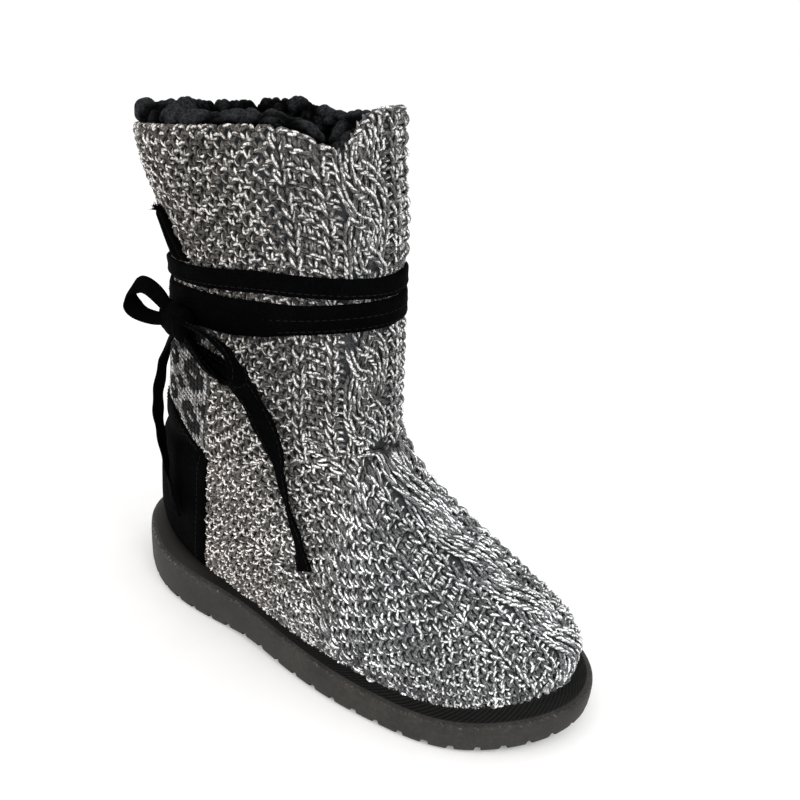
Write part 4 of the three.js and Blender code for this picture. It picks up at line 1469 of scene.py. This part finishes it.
line = np.linspace(0, 1, 300)
seams = []
for u, v in (
    (-0.945 + 0 * line, 0.02 + 0.93 * line), (0.945 + 0 * line, 0.02 + 0.93 * line),
    (-0.94 + 1.88 * line, 0.965 + 0 * line), (-0.94 + 1.88 * line, 0.935 + 0 * line),
):
    seam = skin(*counter_place(u, v), COUNTER_OUT)
    seams.append(running_stitch(*seam, 3.4, 2.5, 0.28, 0.2))
add_piece("counter_stitches", *joined(seams), THREAD, "suede")

# %% [markdown]
# ## The two-colour back panel
# Up the back, above the counter, runs a strip knitted in white and black in a plain traditional repeat
# of diamonds and dots. The repeat is charted below, one letter to a stitch. A painted pattern would
# lie flat, so every stitch is a V of yarn, and takes its dye from the chart.

# %% Back panel
CHART = [
    "#......#",
    "...##...",
    "..####..",
    ".######.",
    ".##..##.",
    ".######.",
    "..####..",
    "...##...",
    "#......#",
    "##....##",
]


def panel_place(u, v):
    low = counter_top(np.abs(u)) + 0.8
    high = lower_wrap((u * 87.5) % 360, -1) - 0.8
    level = low + v * (high - low)
    return level, np.radians(u * back_edge(level))


panel_sheet = patch(panel_place, 81, 31, 0.3, 1.2, 0.02)
add_piece("panel_backing", *panel_sheet, BACKING_SHADE, "stranded_knit", ["back_panel"])

dice = np.random.default_rng(31)
PANEL_COLUMNS = 64
PANEL_ROWS = 25
PANEL_YARN = 0.58
columns, rows = stitch_grid(np.arange(PANEL_COLUMNS), np.arange(PANEL_ROWS))
dyed = np.array([[letter == "#" for letter in text] for text in CHART], float)
dye = dyed[rows % len(CHART), columns % len(CHART[0])]
panel_paths = []
for shape in SHAPES["plain"]:
    paths = np.repeat(shape[None], len(columns), axis=0)
    paths[..., 0] += columns[:, None] + 0.5 + dice.normal(0, 0.02, (len(columns), 1))
    paths[..., 1] += rows[:, None]
    panel_paths.append(paths)
paths = np.concatenate(panel_paths)
dye = np.tile(dye, len(panel_paths))
level, angle = panel_place(
    np.clip(2 * paths[..., 0] / PANEL_COLUMNS - 1, -0.985, 0.985),
    np.clip(paths[..., 1] / PANEL_ROWS, 0.01, 0.99),
)
paths_mm, normals = skin(level, angle, 1.3 + 0.6 * paths[..., 2])
points, faces = tubes(paths_mm, normals, PANEL_YARN * YARN_TAPER, 4)
marks = {"twist": yarn_marks(points, dice, 0.2), "dye": np.repeat(dye, points.shape[1] * points.shape[2])}
add_piece("panel_knit", points, faces, STRANDED, "stranded_knit", marks=marks)

# %% [markdown]
# ## The ribbon's two turns
# The ribbon goes twice round the shaft, flat and a little wavy. One sewn row shows on the upper turn, two
# on the lower one, where the ribbon lies double at the outer side, and one near each edge of the front end.
# A flat curve would cut into the shaft, so each turn is a band of rings on the boot's surface.

# %% Ribbon turns
RIBBON_THREAD = {"pitch": 3.2, "length": 2.3, "radius": 0.2}


def turn_level(level_at, angle, place, seed):
    """The level of a turn between its edges, waving a little."""
    return level_at(np.degrees(angle), place) + 0.25 * np.sin(5 * angle + seed)


def ribbon_turn(level_at, seed):
    columns = 360
    k = np.linspace(-1, 1, 17)
    angle = ring_angles(columns)
    degrees = np.degrees(angle)
    wave = 0.25 * np.sin(7 * angle + seed) + 0.18 * np.sin(17 * angle + 2 * seed)
    doubled = np.clip((level_at(degrees, 1) - level_at(degrees, -1) - 13.5) / 3, 0, 1)
    rings = []
    for sign, order in ((1, k), (-1, k[::-1])):
        for place in order:
            out = np.full(columns, 0.9)
            if sign > 0:
                edge = 1.4 * math.sqrt(1 - abs(place) ** 6 * 0.85)
                out = out + edge + 0.2 + wave * abs(place) + 0.7 * doubled * (place < 0.1)
            rings.append(skin(turn_level(level_at, angle, place, seed), angle, out)[0])
    points = np.stack(rings).reshape(-1, 3)
    return points, turned_out(points, grid_faces(len(rings), columns, close_rows=True, close_columns=True))


seams = []
angle = np.linspace(0, RING, 900)
for name, level_at, seed, stitched in (
    ("upper", upper_wrap, 0.4, [-0.55]), ("lower", lower_wrap, 1.9, [-0.7, 0.05]),
):
    add_piece(f"ribbon_turn_{name}", *ribbon_turn(level_at, seed), RIBBON, "ribbon", [f"ribbon_{name}_wrap"])
    for place in stitched:
        seam = skin(turn_level(level_at, angle, place, seed), angle, 2.5)
        seams.append(running_stitch(*seam, **RIBBON_THREAD, lift=0.18))
points, across, width = cords["front"]
across, face = ribbon_frame(points, across)
for place in (-0.36, 0.36):
    for sign in (1, -1):
        line = points + across * (place * width)[:, None] + face * sign * 0.75
        seams.append(running_stitch(line, face * sign, **RIBBON_THREAD, lift=0.1))
add_piece("ribbon_stitches", *joined(seams), THREAD, "ribbon")

# %% [markdown]
# ## The back tab
# Above the ribbon at the outer rear stands a short tab of the same suede, folded double, its top worn
# to short threads. It is a patch like the counter, with thin tubes for the threads.

# %% Back tab
TAB_LEVEL = 186.5
TAB_RISE = 22.5
TAB_ANGLE = 291
TAB_SLANT = 15
TAB_HALF_WIDTH = 6
TAB_THREADS = 90


def tab_place(u, v):
    level = TAB_LEVEL + v * TAB_RISE
    return level, np.radians(TAB_ANGLE + v * TAB_SLANT + u * TAB_HALF_WIDTH)


def tab_fold(u, v):
    return 0.7 * np.exp(-(((u - 0.1) / 0.25) ** 2)) - 0.9 * np.exp(-(((u + 0.35) / 0.12) ** 2))


add_piece("tab_suede", *patch(tab_place, 33, 45, 0.9, 3.6, 0.12, tab_fold), SUEDE, "suede", ["back_tab"])
dice = np.random.default_rng(41)
u = dice.uniform(-0.95, 0.95, (TAB_THREADS, 1))
lean = dice.normal(0, 0.25, (TAB_THREADS, 1))
reach = dice.uniform(0.03, 0.16, (TAB_THREADS, 1))
t = np.linspace(0, 1, 7)[None]
level, angle = tab_place(u + lean * t, 0.97 + reach * t)
root = dice.uniform(1.2, 3.2, (TAB_THREADS, 1))
stray = dice.normal(0, 1, (TAB_THREADS, 1))
paths, normals = skin(level, angle, root + 1.5 * t * stray)
points, faces = tubes(paths, normals, 0.22 * (1 - 0.6 * t), 5)
add_piece("tab_threads", points, faces, SUEDE, "suede")

# %% [markdown]
# ## Floor and light
# The boot stands on a plain pale floor that runs into a pale room. A broad soft light comes from the
# front and right, a weaker one from the left, and the room fills the shadows. The floor glows a little,
# so that it stays as pale as the room without a brighter light on the boot.

# %% Floor and light
def floor_material():
    material, tree, shader = new_material("pale_floor")
    grain = use_group(tree, fibre, Scale=40.0)
    tone = ranged(tree, grain.outputs["Tone"], 0.5, 1.5, 0.99, 1.01)
    tree.links.new(toned(tree, grey(0.86), tone), shader.inputs["Base Color"])
    shader.inputs["Roughness"].default_value = 0.95
    shader.inputs["Emission Color"].default_value = grey(1)
    shader.inputs["Emission Strength"].default_value = 0.15
    return material


FLOOR_HALF = 40
corners = [(x * FLOOR_HALF, y * FLOOR_HALF, 0) for x, y in ((-1, -1), (1, -1), (1, 1), (-1, 1))]
floor_mesh = bpy.data.meshes.new("floor")
floor_mesh.from_pydata(corners, [], [(0, 1, 2, 3)])
floor_mesh.materials.append(floor_material())
floor = bpy.data.objects.new("floor", floor_mesh)
scene.collection.objects.link(floor)

world = bpy.data.worlds.new("room")
world.use_nodes = True
world.node_tree.nodes["Background"].inputs["Color"].default_value = (1, 1, 1, 1)
world.node_tree.nodes["Background"].inputs["Strength"].default_value = 1.0
scene.world = world


def soft_light(name, place, size, power, colour):
    light = bpy.data.lights.new(name, "AREA")
    light.shape = "DISK"
    light.size = size
    light.energy = power
    light.color = colour
    lamp = bpy.data.objects.new(name, light)
    lamp.location = place
    lamp.rotation_euler = (Vector((0, 0, 0.1)) - Vector(place)).to_track_quat("-Z", "Y").to_euler()
    scene.collection.objects.link(lamp)


soft_light("key", (0.9, -0.2, 1.2), 0.7, 5.2, (1, 0.995, 0.98))
soft_light("fill", (-0.7, -1.0, 0.8), 0.9, 4, (1, 0.94, 0.88))
scene.view_settings.view_transform = "Standard"
print("lights", len(bpy.data.lights))
